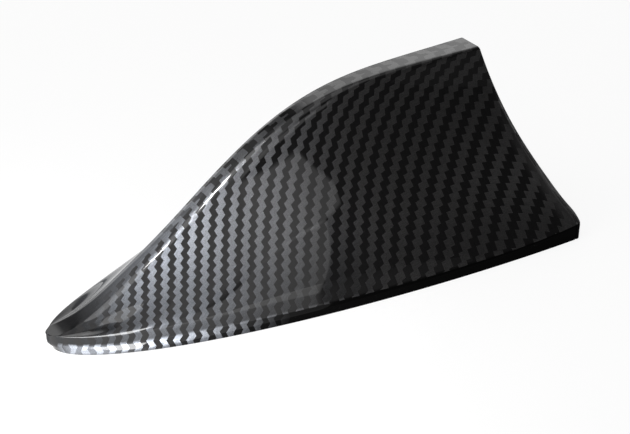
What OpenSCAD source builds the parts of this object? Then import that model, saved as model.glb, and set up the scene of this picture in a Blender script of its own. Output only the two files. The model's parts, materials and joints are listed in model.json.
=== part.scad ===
// Shark fin roof aerial for a car.
// A hollow moulded fin is closed from below by a flat carrier ring, which is glued to the roof.
// The ring is open in the middle for the car's own aerial foot. Above that room a deck carries
// the amplifier board, its coil and the upright antenna board inside the fin.
// Frame: origin on the roof at the middle of the footprint, nose toward -X, tail toward +X, +Z up.

/* [Fin outline] */
// Length of the footprint on the roof
fin_length = 166; // [140:1:200]
// Width of the footprint at the tail
fin_width = 72; // [66:1:90]
// Height of the ridge at the tail
fin_height = 59.3; // [54:0.1:75]
// Height of the upright lip that runs round the foot of the fin
lip_height = 5.6; // [4.8:0.1:9]
// How late the ridge starts to climb from the nose
spine_start = 1.92; // [1.5:0.01:2.4]
// How soon the climbing ridge levels out
spine_fill = 6.97; // [4:0.01:10]
// How evenly the footprint widens toward the tail
plan_taper = 1.67; // [1.3:0.01:2.2]
// How blunt the nose of the footprint is
plan_nose = 1.89; // [1.5:0.01:2.4]
// How far the tail leans forward from the lip to the ridge
tail_rake = 19.4; // [10:0.1:30]

/* [Fin section] */
// Half width of the flat ridge at the nose
ridge_nose = 3; // [2.4:0.1:5]
// Half width of the flat ridge at the tail
ridge_tail = 4.6; // [4.2:0.1:6]
// Radius of the ridge's edges at the nose
ridge_round_nose = 5.9; // [3:0.1:8]
// Radius of the ridge's edges at the tail
ridge_round_tail = 0.9; // [0.6:0.1:1.6]
// Angle below level at which the flank leaves the ridge at the tail
shoulder_angle = 84; // [70:1:88]
// How soon the shoulder steepens behind the nose, as an exponent
shoulder_onset = 0.31; // [0.2:0.01:1]
// Angle below level at which the flank meets the lip near the nose
flank_angle_nose = 80; // [65:1:86]
// Angle below level at which the flank meets the lip at the tail
flank_angle_tail = 52.5; // [42:0.5:65]
// How late the flank's foot flares out, as an exponent
flank_onset = 3.95; // [2:0.05:6]
// Pull of the shoulder on the flank's curve, as a share of its reach
shoulder_pull = 0.52; // [0.3:0.01:0.6]
// Pull of the lip on the flank's curve, as a share of its reach
flank_pull = 0.31; // [0.15:0.01:0.45]
// Radius of the edges round the tail face
tail_round = 1.6; // [0.8:0.1:2]

/* [Fin wall] */
// Wall thickness of the fin
wall = 2.2; // [1.6:0.1:2.6]
// Wall thickness of the lip beside the carrier ring
rim_wall = 1.6; // [1.2:0.1:2]
// Width of the ledge that the ring's gasket seals against
ledge_w = 1.8; // [1.4:0.1:2.4]

/* [Adhesive, ring and gasket] */
// Thickness of the adhesive foam
foam_t = 1.2; // [0.8:0.1:1.6]
// Thickness of the carrier ring's flange
ring_t = 2; // [1.6:0.1:2.2]
// Thickness of the pressed gasket
gasket_t = 0.6; // [0.4:0.1:0.8]
// Width of the gasket strip
gasket_w = 1.6; // [1.2:0.1:2.2]
// Gap between the ring's edge and the lip
ring_gap = 0.2; // [0.1:0.05:0.3]
// How far the foam's edge stays inside the ring's edge
foam_margin = 1.2; // [0.5:0.1:2.5]
// Length of the opening for the car's aerial foot
opening_l = 70; // [50:1:76]
// Width of the opening
opening_w = 42; // [30:1:44]
// Corner radius of the opening
opening_r = 13; // [6:0.5:15]
// Distance from the opening's rear end to the tail
opening_back = 23; // [20:0.5:26]
// Thickness of the collar round the opening
collar_t = 1.4; // [1:0.1:2]
// Height of the collar above the flange
collar_h = 2.6; // [1.5:0.1:3.2]

/* [Ring screws] */
// Thread diameter of the self-tapping screws
ring_screw_d = 2.9; // [2.5:0.1:3.2]
// Length of these screws under the head
ring_screw_l = 6.5; // [5:0.5:7]
// Outer diameter of the bosses that they are driven into
boss_d = 6.4; // [5.8:0.1:7]
// Distance from the nose to the nose screw
nose_screw_back = 23; // [21:0.5:26]
// Distance from the opening's front end to the front pair
front_pair_ahead = 11; // [9.5:0.5:15]
// Distance from the fin's edge to the front pair
front_pair_edge = 8; // [7.5:0.1:9.5]
// Distance from the tail to the rear pair
rear_pair_ahead = 12; // [11:0.5:14]
// Distance from the fin's edge to the rear pair
rear_pair_edge = 10.8; // [10:0.1:12.5]

/* [Deck] */
// Height of the deck's underside above the roof
deck_z = 24; // [23:0.5:26]
// Thickness of the deck
deck_t = 2; // [1.6:0.1:2.4]
// Width of the deck
deck_w = 19; // [18.4:0.1:20]
// How far the deck's middle lies behind the opening's middle
deck_shift = 1; // [0:0.5:2]
// Diameter of the posts that hang from the ridge
post_d = 6; // [5.4:0.1:6.4]
// Thickness of the webs that brace the posts
web_t = 1.6; // [1.2:0.1:2]
// Thread diameter of the deck screws
deck_screw_d = 2.6; // [2.2:0.1:3]
// Length of the deck screws under the head
deck_screw_l = 8; // [6:0.5:10]
// Height of the pips under the amplifier board
pip_h = 1.6; // [1.4:0.1:2.4]
// Bore of the lead grommet
grommet_bore = 3; // [2:0.1:3.6]

/* [Boards] */
// Length of the amplifier board
amp_l = 50; // [48:0.5:51]
// Gap between the amplifier board and each post
board_gap = 2.5; // [1.5:0.1:3.5]
// Distance from the deck's edge to the amplifier board's edge
board_margin = 0.7; // [0.4:0.1:1]
// Thickness of both boards
board_t = 1.2; // [0.8:0.1:1.6]
// Thread diameter of the board screws
board_screw_d = 2; // [1.6:0.1:2.2]
// Distance from the amplifier board's front edge to the antenna board, where the coil stands
coil_room = 11.5; // [11:0.1:13]
// Distance from the antenna board to the amplifier board's rear edge
antenna_back = 1.5; // [1:0.1:4]
// Height of the antenna board's lower edge above the amplifier board
antenna_gap = 4.4; // [4:0.1:5.5]
// Gap from the antenna board's top edge to the inside of the ridge
antenna_clear = 3.2; // [2.8:0.1:5]
// Height of the shield can
shield_h = 3; // [2.2:0.1:3.6]
// Thickness of the shield's sheet
shield_t = 0.25; // [0.2:0.05:0.4]

/* [Coil] */
// Diameter of the coil former
former_d = 5; // [4:0.1:5.6]
// Height of the coil former between its flanges
former_h = 9; // [7:0.5:10]
// Diameter of the coil's wire
coil_wire_d = 0.6; // [0.4:0.05:0.8]
// Turns of the coil
coil_turns = 10; // [6:1:12]

/* [Hidden] */

round_fn = 48;
stations = 34;
arc_steps = 3;
side_steps = 9;
tail_steps = 3;
first_share = 0.0015;
touch = 0.01;

nose_x = -fin_length / 2;
tail_x = fin_length / 2;
half_w = fin_width / 2;
opening_x = tail_x - opening_back - opening_l / 2;
opening_front = opening_x - opening_l / 2;
ring_z = foam_t;
ring_top = ring_z + ring_t;
ledge_z = ring_top + gasket_t;
inner_low = max(lip_height - 1, ledge_z + 0.2);
skirt = rim_wall + ledge_w;

function mix(a, b, t) = a + (b - a) * t;

// Share of the full climb that the ridge has made at share u of the length.
function spine_rise(u) = 1 - pow(1 - pow(u, spine_start), spine_fill);
function spine_z(u) = lip_height + (fin_height - lip_height) * spine_rise(u);

// Extra depth that keeps the wall's thickness under the sloping ridge.
function spine_drop(u) =
    let (step = 0.01)
    let (slope = (spine_z(min(u + step, 1)) - spine_z(max(u - step, 0))) / (2 * step * fin_length))
    wall * sqrt(1 + slope * slope);

// Share of the full half width that the footprint has at share u of the length.
function plan_share(u) = pow(1 - pow(1 - u, plan_taper), 1 / plan_nose);

// How far a point at height z leans forward at share u of the length.
function lean(u, z) =
    tail_rake * max(0, (z - lip_height) / (fin_height - lip_height)) * pow(u, 3);

function bezier(a, b, c, d, t) =
    pow(1 - t, 3) * a + 3 * pow(1 - t, 2) * t * b + 3 * (1 - t) * t * t * c + pow(t, 3) * d;

// Half of a cross-section from the ridge down to the lip, as [y, z] points:
// the end of the flat ridge, an arc of the given radius through the shoulder's angle, and one cubic curve
// that leaves the arc at that angle and lands on the lip at the flank's angle.
function half_section(foot, low, high, ridge, radius, shoulder, flank) =
    let (drop = max(high - low, 0.02))
    let (r = min([radius, 0.85 * ridge / tan(shoulder / 2), 0.5 * drop / (1 - cos(shoulder))]))
    let (flat = ridge - r * tan(shoulder / 2))
    let (arc = [for (k = [0:arc_steps])
        let (a = shoulder * k / arc_steps) [flat + r * sin(a), high - r + r * cos(a)]])
    let (from = arc[arc_steps])
    let (to = [foot, low])
    let (reach = norm(to - from))
    let (lead = from + reach * shoulder_pull * [cos(shoulder), -sin(shoulder)])
    let (land = to - reach * flank_pull * [cos(flank), -sin(flank)])
    concat(arc, [for (k = [1:side_steps]) bezier(from, lead, land, to, k / side_steps)]);

function shoulder_at(u) = shoulder_angle * pow(u, shoulder_onset);
function flank_at(u) = mix(flank_angle_nose, flank_angle_tail, pow(u, flank_onset));
function round_at(u) = mix(ridge_round_nose, ridge_round_tail, u);
function ridge_at(u, foot) = min(mix(ridge_nose, ridge_tail, u), 0.6 * foot);

// Place along the fin of share u, for a part whose edge stays inside the fin's by an inset.
function place_at(u, inset) =
    nose_x + inset + (fin_length - 2 * inset) * (u - first_share) / (1 - first_share);

// Mirrors a half section to the whole one, from the -Y foot over the ridge to the +Y foot.
function whole(half) =
    concat([for (k = [len(half) - 1:-1:0]) [-half[k].x, half[k].y]], half);

// Stations along the fin as [share of the length, inset]: close together at the nose, and
// a quarter turn of stations round the tail's edges.
spread = 1.8;
along = [for (i = [0:stations]) mix(first_share, 1 - tail_round / fin_length, pow(i / stations, spread))];
along_inside = [for (i = [0:stations]) mix(first_share, 1, pow(i / stations, spread))];
round_tail = [for (k = [1:tail_steps])
    let (a = 90 * k / tail_steps)
    [1 - tail_round * (1 - sin(a)) / fin_length, tail_round * (1 - cos(a))]];
outer_stations = concat([for (u = along) [u, 0]], round_tail);

// One ring of the outside: foot, lip, flank, ridge, flank, lip, foot.
function outer_ring(station) =
    let (u = station[0], inset = station[1])
    let (foot = half_w * plan_share(u) - inset)
    let (ridge = ridge_at(u, foot + inset) - inset)
    let (half = half_section(foot, lip_height, spine_z(u) - inset, ridge,
        round_at(u), shoulder_at(u), flank_at(u)))
    [for (p = whole(concat(half, [[foot, 0]])))
        [place_at(u, 0) - lean(u, p.y), p.x, p.y]];

// One ring of the inside: down the inner flank to the ledge, out to the lip and down to the foot.
function inner_ring(u) =
    let (x = place_at(u, skirt), x_rabbet = place_at(u, rim_wall))
    let (u_out = (x - nose_x) / fin_length)
    let (foot = (half_w - skirt) * plan_share(u))
    let (rabbet = (half_w - rim_wall) * plan_share(u))
    let (high = max(spine_z(u_out) - spine_drop(u_out), inner_low + 0.05))
    let (ridge = max(ridge_at(u_out, foot) - wall, 0.25 * min(foot, wall)))
    let (half = half_section(foot, inner_low, high, ridge,
        max(round_at(u_out) - wall, 0.4), shoulder_at(u_out), flank_at(u_out)))
    [for (p = whole(concat(half, [[foot, ledge_z], [rabbet, ledge_z], [rabbet, 0]])))
        let (in_rabbet = abs(p.x) > foot + (rabbet - foot) / 2)
        [(in_rabbet ? x_rabbet : x) - lean(u_out, p.y), p.x, p.y]];

function grid_faces(rows, cols, first, flip) =
    [for (i = [0:rows - 2], j = [0:cols - 2], k = [0, 1])
        let (a = first + i * cols + j, b = a + cols)
        let (t = k == 0 ? [a, a + 1, b + 1] : [a, b + 1, b])
        flip ? [t[2], t[1], t[0]] : t];

// Closes a ring of mirrored points with strips from side to side.
function cap_faces(first, cols, flip) =
    [for (j = [0:cols / 2 - 2], k = [0, 1])
        let (a = first + j, b = first + cols - 1 - j)
        let (t = k == 0 ? [a, a + 1, b] : [a + 1, b - 1, b])
        flip ? [t[2], t[1], t[0]] : t];

module fin_skin() {
    outside = [for (s = outer_stations) outer_ring(s)];
    inside = [for (u = along_inside) inner_ring(u)];
    rows_out = len(outside);
    cols_out = len(outside[0]);
    rows_in = len(inside);
    cols_in = len(inside[0]);
    points = concat([for (r = outside) each r], [for (r = inside) each r]);
    base_in = rows_out * cols_out;
    // The rim under the lip joins the two feet on each side; the inside has fewer rows, so the
    // outer rows past its last one fan onto it.
    rim = [for (i = [0:rows_out - 2], side = [0, 1])
        let (j_out = side == 0 ? 0 : cols_out - 1, j_in = side == 0 ? 0 : cols_in - 1)
        let (a = i * cols_out + j_out, b = (i + 1) * cols_out + j_out)
        let (c = base_in + min(i, rows_in - 1) * cols_in + j_in)
        let (d = base_in + min(i + 1, rows_in - 1) * cols_in + j_in)
        each (side == 0
            ? concat([[a, b, c]], d == c ? [] : [[b, d, c]])
            : concat([[c, b, a]], d == c ? [] : [[c, d, b]]))];
    nose_a = 0;
    nose_b = cols_out - 1;
    tail_a = (rows_out - 1) * cols_out;
    tail_b = tail_a + cols_out - 1;
    in_nose_a = base_in;
    in_nose_b = base_in + cols_in - 1;
    in_tail_a = base_in + (rows_in - 1) * cols_in;
    in_tail_b = in_tail_a + cols_in - 1;
    ends = [
        [nose_a, in_nose_a, in_nose_b], [nose_a, in_nose_b, nose_b],
        [tail_a, in_tail_b, in_tail_a], [tail_a, tail_b, in_tail_b]
    ];
    polyhedron(points, concat(
        grid_faces(rows_out, cols_out, 0, false),
        grid_faces(rows_in, cols_in, base_in, true),
        cap_faces(0, cols_out, true),
        cap_faces(tail_a, cols_out, false),
        cap_faces(base_in, cols_in, false),
        cap_faces(in_tail_a, cols_in, true),
        rim, ends));
}

// Share of the length at which the surface stands over place x at height z.
function share_at(x, z, u, turns) =
    turns == 0 ? u : share_at(x, z, (x - nose_x + lean(u, z)) / fin_length, turns - 1);
function share_over(x, z) = share_at(x, z, (x - nose_x) / fin_length, 4);

// Height of the inside of the ridge over place x.
function roof_z(x) =
    let (u = share_over(x, fin_height))
    spine_z(u) - spine_drop(u);

// Height of the fin's outside over the point [x, y].
function outside_z(x, y) =
    let (u = share_over(x, lip_height + 10))
    let (foot = half_w * plan_share(u))
    lookup(abs(y), half_section(foot, lip_height, spine_z(u), ridge_at(u, foot),
        round_at(u), shoulder_at(u), flank_at(u)));

// Self-tapping screws are drawn at their root, and their holes clear that root.
function root_d(d) = 0.8 * d;
function pilot_d(d) = 0.84 * d;
function head_d(d) = 1.85 * d;
function head_h(d) = 0.35 * d;
pilot_spare = 0.4;

// Half width of the footprint at place x.
function foot_at(x) = half_w * plan_share((x - nose_x) / fin_length);

nose_screw_x = nose_x + nose_screw_back;
front_pair_x = opening_front - front_pair_ahead;
rear_pair_x = tail_x - rear_pair_ahead;
ring_screw_places = [
    [nose_screw_x, 0],
    for (side = [-1, 1]) [front_pair_x, side * (foot_at(front_pair_x) - front_pair_edge)],
    for (side = [-1, 1]) [rear_pair_x, side * (foot_at(rear_pair_x) - rear_pair_edge)]
];
ring_seat = ring_z + head_h(ring_screw_d);

function boss_top(p) =
    min(outside_z(p.x - boss_d / 2, abs(p.y) + boss_d / 2), outside_z(p.x, abs(p.y) + boss_d / 2))
    - 0.45 * wall;

deck_top = deck_z + deck_t;
amp_x = opening_x + deck_shift;
front_post_x = amp_x - amp_l / 2 - board_gap - post_d / 2;
rear_post_x = amp_x + amp_l / 2 + board_gap + post_d / 2;
post_places = [front_post_x, rear_post_x];
function post_top(x) = min(roof_z(x - post_d / 2), roof_z(x + post_d / 2)) + 0.5 * wall;

// Inside of the tail face at height z.
function tail_inside_x(z) = tail_x - skirt - lean(1, z);

// Footprint of the fin with its edge moved in, as a closed outline.
function outline(inset) =
    let (side = [for (u = along_inside) [place_at(u, inset), (half_w - inset) * plan_share(u)]])
    concat(side, [for (i = [stations:-1:0]) [side[i].x, -side[i].y]]);

module plate(inset, z, t) {
    translate([0, 0, z])
    linear_extrude(t)
    polygon(outline(inset));
}

module rounded_rect(l, w, r) {
    square([l - 2 * r, w], center = true);
    square([l, w - 2 * r], center = true);
    for (sx = [-1, 1], sy = [-1, 1])
        translate([sx * (l / 2 - r), sy * (w / 2 - r)])
        circle(r, $fn = round_fn);
}

module opening(grow, z, t) {
    translate([opening_x, 0, z])
    linear_extrude(t)
    rounded_rect(opening_l + 2 * grow, opening_w + 2 * grow, opening_r + grow);
}

// A pan-headed screw that points up, with its seat at z = 0 and a cross recess in its head.
module pan_screw(d, length) {
    tip = 0.6 * d;
    recess = 0.16 * d;
    difference() {
        union() {
            translate([0, 0, -head_h(d)])
            cylinder(h = head_h(d), d = head_d(d), $fn = round_fn);
            cylinder(h = length - tip, d = root_d(d), $fn = round_fn);
            translate([0, 0, length - tip])
            cylinder(h = tip, d1 = root_d(d), d2 = 0.3 * d, $fn = round_fn);
        }
        for (turn = [0, 90])
            rotate([0, 0, turn])
            translate([0, 0, -head_h(d)])
            cube([1.1 * d, recess, head_h(d)], center = true);
    }
}

// Upright plate in the fin's middle plane, drawn as [x, z] points.
module web(points) {
    translate([0, web_t / 2, 0])
    rotate([90, 0, 0])
    linear_extrude(web_t)
    polygon(points);
}

// Triangular webs brace the posts: one runs forward under the ridge, one back to the tail face.
module post_webs() {
    sunk = 0.5 * wall;
    steps = 5;
    reach = 22;
    front_low = deck_top + 0.35 * (post_top(front_post_x) - deck_top);
    web(concat(
        [[front_post_x, front_low]],
        [for (i = [0:steps])
            let (x = front_post_x - reach * (1 - i / steps))
            [x, roof_z(x) + sunk]]));
    rear_low = deck_top + 0.4 * (post_top(rear_post_x) - deck_top);
    rear_high = post_top(rear_post_x) - sunk;
    web([
        [rear_post_x, rear_low], [tail_inside_x(rear_high) + sunk, rear_high - 4],
        [tail_inside_x(rear_high) + sunk, rear_high], [rear_post_x, rear_high]
    ]);
}

module fin_shell() {
    color("#26282b")
    difference() {
        union() {
            fin_skin();
            post_webs();
            for (p = ring_screw_places)
                translate([p.x, p.y, ring_top])
                cylinder(h = boss_top(p) - ring_top, d = boss_d, $fn = round_fn);
            for (x = post_places)
                translate([x, 0, deck_top])
                cylinder(h = post_top(x) - deck_top, d = post_d, $fn = round_fn);
        }
        for (p = ring_screw_places)
            translate([p.x, p.y, ring_top - 1])
            cylinder(h = ring_seat + ring_screw_l - ring_top + 1 + pilot_spare,
                d = pilot_d(ring_screw_d), $fn = round_fn);
        for (x = post_places)
            translate([x, 0, deck_top - 1])
            cylinder(h = deck_z + deck_screw_l - deck_top + 1 + pilot_spare,
                d = pilot_d(deck_screw_d), $fn = round_fn);
    }
}

ring_inset = rim_wall + ring_gap;
rib_t = 1.2;
rib_h = 1.8;
rib_places = [for (share = [1 / 3, 2 / 3]) mix(nose_screw_x, opening_front, share) - rib_t];

module carrier_ring() {
    color("#17181a")
    difference() {
        union() {
            plate(ring_inset, ring_z, ring_t);
            opening(collar_t, ring_top - touch, collar_h + touch);
            intersection() {
                plate(skirt + 1, ring_top - touch, rib_h + touch);
                union() {
                    for (x = rib_places)
                        translate([x, 0, ring_top])
                        cube([rib_t, fin_width, 2 * rib_h], center = true);
                    translate([(nose_screw_x + opening_front) / 2, 0, ring_top])
                    cube([opening_front - nose_screw_x - 1.6 * boss_d, rib_t, 2 * rib_h], center = true);
                }
            }
        }
        opening(0, 0, ring_top + collar_h + 1);
        for (p = ring_screw_places)
            translate([p.x, p.y, 0]) {
                cylinder(h = ring_top + 1, d = ring_screw_d + 0.3, $fn = round_fn);
                cylinder(h = ring_seat, d = head_d(ring_screw_d) + 0.4, $fn = round_fn);
            }
    }
}

module ring_gasket() {
    color("#0c0c0d")
    difference() {
        plate(ring_inset, ring_top, gasket_t);
        plate(ring_inset + gasket_w, ring_top - 1, gasket_t + 2);
    }
}

module adhesive_ring() {
    color("#d8d8d4")
    difference() {
        plate(ring_inset + foam_margin, 0, foam_t);
        opening(foam_margin, -1, foam_t + 2);
        for (p = ring_screw_places)
            translate([p.x, p.y, -1])
            cylinder(h = foam_t + 2, d = head_d(ring_screw_d) + 1.6, $fn = round_fn);
    }
}

module ring_screws() {
    color("#8d9094")
    for (p = ring_screw_places)
        translate([p.x, p.y, ring_seat])
        pan_screw(ring_screw_d, ring_screw_l);
}

amp_w = deck_w - 2 * board_margin;
amp_z = deck_top + pip_h;
amp_top = amp_z + board_t;
amp_screw_places = [for (sx = [-1, 1], sy = [-1, 1])
    [amp_x + sx * (amp_l / 2 - 3), sy * (amp_w / 2 - 2.4)]];
grommet_x = amp_x + 5;
grommet_neck = grommet_bore + 3;
grommet_flange = grommet_bore + 5.4;
deck_end = deck_w / 2;
deck_front = front_post_x - 4;
deck_rear = rear_post_x + 4;

module deck_outline() {
    translate([deck_front + deck_end, -deck_end])
    square([deck_rear - deck_front - deck_w, deck_w]);
    for (x = [deck_front + deck_end, deck_rear - deck_end])
        translate([x, 0])
        circle(deck_end, $fn = 2 * round_fn);
}

module inner_deck() {
    color("#1b1c1f")
    difference() {
        union() {
            translate([0, 0, deck_z])
            linear_extrude(deck_t)
            deck_outline();
            for (p = amp_screw_places)
                translate([p.x, p.y, deck_top - touch])
                cylinder(h = pip_h + touch, d = board_screw_d + 2.2, $fn = round_fn);
            for (side = [-1, 1])
                translate([amp_x, side * (deck_w / 2 - 2.4), deck_z - rib_h / 2 + touch])
                cube([amp_l - 6, rib_t, rib_h], center = true);
        }
        for (p = amp_screw_places)
            translate([p.x, p.y, deck_z - rib_h - 1])
            cylinder(h = deck_t + pip_h + rib_h + 2, d = pilot_d(board_screw_d), $fn = round_fn);
        for (x = post_places)
            translate([x, 0, deck_z - 1])
            cylinder(h = deck_t + 2, d = deck_screw_d + 0.3, $fn = round_fn);
        translate([grommet_x, 0, deck_z - 1])
        cylinder(h = deck_t + 2, d = grommet_neck + 0.1, $fn = round_fn);
    }
}

module deck_screws() {
    color("#8d9094")
    for (x = post_places)
        translate([x, 0, deck_z])
        pan_screw(deck_screw_d, deck_screw_l);
}

module lead_grommet() {
    upper = 0.55 * pip_h;
    lower = 1.1;
    color("#101011")
    translate([grommet_x, 0, deck_z - lower])
    rotate_extrude($fn = round_fn)
    polygon([
        [grommet_bore / 2, 0], [grommet_flange / 2, 0], [grommet_flange / 2, lower],
        [grommet_neck / 2, lower], [grommet_neck / 2, lower + deck_t],
        [grommet_flange / 2, lower + deck_t], [grommet_flange / 2, lower + deck_t + upper],
        [grommet_bore / 2, lower + deck_t + upper]
    ]);
}

antenna_x0 = amp_x - amp_l / 2 + coil_room;
antenna_x1 = amp_x + amp_l / 2 - antenna_back;
antenna_low = amp_top + antenna_gap;
antenna_top = roof_z(antenna_x0 + 10) - antenna_clear;
tab_l = 4;
tab_places = [antenna_x0, antenna_x1 - tab_l];
coil_x = antenna_x0 - coil_room / 2;
coil_pin_d = 0.7;
coil_pin_offset = former_d / 2 - 0.2;
flange_h = 0.8;
rear_parts_x = amp_x + amp_l / 2 - 10;
socket_place = [rear_parts_x, 4.6];
socket_size = [6.6, 4.6, 4.2];
socket_pin_gap = 2.5;
pin_below = 0.9;
joint_h = 0.6;
through_pins = [
    for (side = [-1, 1]) [coil_x, side * coil_pin_offset],
    for (side = [-1, 1]) [socket_place.x + side * socket_pin_gap / 2, socket_place.y]
];

module amplifier_board() {
    color("#1f5a3a")
    translate([0, 0, amp_z])
    linear_extrude(board_t)
    difference() {
        translate([amp_x, 0])
        rounded_rect(amp_l, amp_w, 1);
        for (p = amp_screw_places)
            translate(p)
            circle(d = board_screw_d + 0.3, $fn = round_fn);
        for (p = through_pins)
            translate(p)
            circle(d = coil_pin_d + 0.2, $fn = round_fn);
        for (x = tab_places)
            translate([x - 0.1, -board_t / 2 - 0.1])
            square([tab_l + 0.2, board_t + 0.2]);
    }
}

module board_screws() {
    color("#8d9094")
    for (p = amp_screw_places)
        translate([p.x, p.y, amp_top])
        mirror([0, 0, 1])
        pan_screw(board_screw_d, amp_top - deck_z - 0.4);
}

shield_l = 18;
shield_w = 12.6;
shield_x = amp_x + 1;

module shield_frame() {
    color("#b9bdc0")
    translate([shield_x, 0, amp_top])
    linear_extrude(shield_h - 0.3)
    difference() {
        square([shield_l, shield_w], center = true);
        square([shield_l - 2 * shield_t, shield_w - 2 * shield_t], center = true);
    }
}

module shield_lid() {
    gap = 0.05;
    grow = 2 * (shield_t + gap);
    vent_d = 1.2;
    color("#c9cccf")
    translate([shield_x, 0, amp_top + 0.5])
    difference() {
        translate([-(shield_l + grow) / 2, -(shield_w + grow) / 2, 0])
        cube([shield_l + grow, shield_w + grow, shield_h - 0.5 + shield_t]);
        translate([-(shield_l + 2 * gap) / 2, -(shield_w + 2 * gap) / 2, -1])
        cube([shield_l + 2 * gap, shield_w + 2 * gap, shield_h - 0.5 + 0.7]);
        for (ix = [-2:2], iy = [-1:1])
            translate([3.2 * ix, 3.6 * iy, 0])
            cylinder(h = shield_h + 1, d = vent_d, $fn = 24);
    }
}

module amplifier_chip() {
    body = [4.9, 3.9, 1.4];
    leg = [0.42, 0.9, 0.2];
    pitch = 1.27;
    color("#141416")
    translate([shield_x - shield_l / 6, 0, amp_top]) {
        translate([-body.x / 2, -body.y / 2, 0.1])
        cube(body);
        for (side = [-1, 1], i = [0:3])
            translate([(i - 1.5) * pitch, side * (body.y / 2 + leg.y / 2 - touch), leg.z / 2])
            cube(leg, center = true);
    }
}

small_capacitor = [1.6, 0.8, 0.8];
large_capacitor = [2, 1.25, 1];
resistor = [1.6, 0.8, 0.45];
chip_gap = 1.2;

// Small parts stand in rows inside the shield, at a place given as a share of the shield's length.
module chip_row(size, share, count) {
    pitch = size.y + chip_gap;
    for (i = [0:count - 1])
        translate([shield_x + share * shield_l, (i - (count - 1) / 2) * pitch, amp_top + size.z / 2])
        cube(size, center = true);
}

module chip_capacitors() {
    color("#a98e63") {
        chip_row(small_capacitor, 0.11, 4);
        chip_row(large_capacitor, 0.39, 3);
    }
}

module chip_resistors() {
    color("#202024") {
        chip_row(resistor, 0.25, 5);
        chip_row(resistor, -0.41, 4);
    }
}

choke_place = [rear_parts_x, -4.4];
choke_d = 5.2;
choke_h = 3.4;
choke_core_d = 2.2;

module filter_choke() {
    rim = 0.7;
    color("#3a3b40")
    translate([choke_place.x, choke_place.y, amp_top])
    rotate_extrude($fn = round_fn)
    polygon([
        [0, 0], [choke_d / 2, 0], [choke_d / 2, rim], [choke_core_d / 2, rim],
        [choke_core_d / 2, choke_h - rim], [choke_d / 2, choke_h - rim], [choke_d / 2, choke_h],
        [0, choke_h]
    ]);
}

module choke_winding() {
    rim = 0.75;
    turns = 5;
    step = (choke_h - 2 * rim) / turns;
    color("#b36b34")
    translate([choke_place.x, choke_place.y, amp_top + rim])
    rotate_extrude($fn = round_fn)
    polygon(concat(
        [[choke_core_d / 2 + 0.05, 0]],
        [for (i = [0:turns - 1], k = [0.1, 0.5, 0.9])
            [choke_d / 2 - (k == 0.5 ? 0.25 : 0.45), (i + k) * step]],
        [[choke_core_d / 2 + 0.05, turns * step]]));
}

module lead_socket() {
    lip = 0.7;
    color("#d9d3c2")
    translate([socket_place.x, socket_place.y, amp_top])
    difference() {
        translate([-socket_size.x / 2, -socket_size.y / 2, 0])
        cube(socket_size);
        translate([-socket_size.x / 2 + lip, -socket_size.y / 2 + lip, 1])
        cube([socket_size.x - 2 * lip, socket_size.y, socket_size.z]);
        for (side = [-1, 1])
            translate([side * socket_pin_gap / 2, 0, -1])
            cylinder(h = 3, d = coil_pin_d + 0.04, $fn = 24);
    }
}

module socket_pins() {
    color("#c9a24a")
    for (side = [-1, 1])
        translate([socket_place.x + side * socket_pin_gap / 2, socket_place.y, amp_z - pin_below])
        cylinder(h = socket_size.z - 0.6 + board_t + pin_below, d = coil_pin_d, $fn = 24);
}

module coil_former() {
    color("#e4e0d4")
    translate([coil_x, 0, amp_top])
    rotate_extrude($fn = round_fn)
    polygon([
        [former_d / 2 - 1, 0], [former_d / 2 + 1, 0], [former_d / 2 + 1, flange_h],
        [former_d / 2, flange_h], [former_d / 2, flange_h + former_h],
        [former_d / 2 + 1, flange_h + former_h], [former_d / 2 + 1, 2 * flange_h + former_h],
        [former_d / 2 - 1, 2 * flange_h + former_h]
    ]);
}

// A round tube through a list of rings, closed at both ends.
module tube(rings) {
    sides = len(rings[0]);
    last = len(rings) - 1;
    polyhedron(
        [for (r = rings) each r],
        concat(
            [[for (k = [0:sides - 1]) k]],
            [[for (k = [sides - 1:-1:0]) last * sides + k]],
            [for (i = [0:last - 1], k = [0:sides - 1], half = [0, 1])
                let (a = i * sides + k, b = i * sides + (k + 1) % sides)
                half == 0 ? [a, a + sides, b] : [b, a + sides, b + sides]]));
}

module coil_winding() {
    steps = 14;
    sides = 6;
    pitch = (former_h - 0.4) / (coil_turns + 0.8);
    radius = (former_d / 2 + coil_wire_d / 2 + 0.03) / cos(180 / steps);
    color("#b36b34")
    translate([coil_x, 0, amp_top + flange_h + 0.2 + pitch * 0.4])
    tube([for (i = [0:steps * coil_turns])
        let (a = 360 * i / steps, z = pitch * i / steps)
        [for (k = [0:sides - 1])
            let (b = 360 * k / sides, r = radius + coil_wire_d / 2 * cos(b))
            [r * cos(a), r * sin(a), z + coil_wire_d / 2 * sin(b)]]]);
}

module coil_pins() {
    color("#c9a24a")
    for (side = [-1, 1])
        translate([coil_x, side * coil_pin_offset, amp_z - pin_below])
        cylinder(h = board_t + pin_below, d = coil_pin_d, $fn = 24);
}

module antenna_board() {
    color("#1f5a3a")
    translate([0, board_t / 2, 0])
    rotate([90, 0, 0])
    linear_extrude(board_t) {
        polygon([
            [antenna_x0, antenna_low], [antenna_x1, antenna_low], [antenna_x1, antenna_top],
            [antenna_x0 + 10, antenna_top], [antenna_x0, antenna_top - 5]
        ]);
        for (x = tab_places)
            translate([x, amp_z])
            square([tab_l, antenna_low - amp_z + touch]);
    }
}

track_t = 0.1;
track_w = 0.9;
track_runs = 6;
track_margin = 2;
track_low = antenna_low + track_margin;
track_high = antenna_top - 3.5 * track_margin;
track_step = (track_high - track_low) / (track_runs - 1);
track_x0 = antenna_x0 + track_margin;
track_x1 = antenna_x1 - track_margin;

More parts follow.
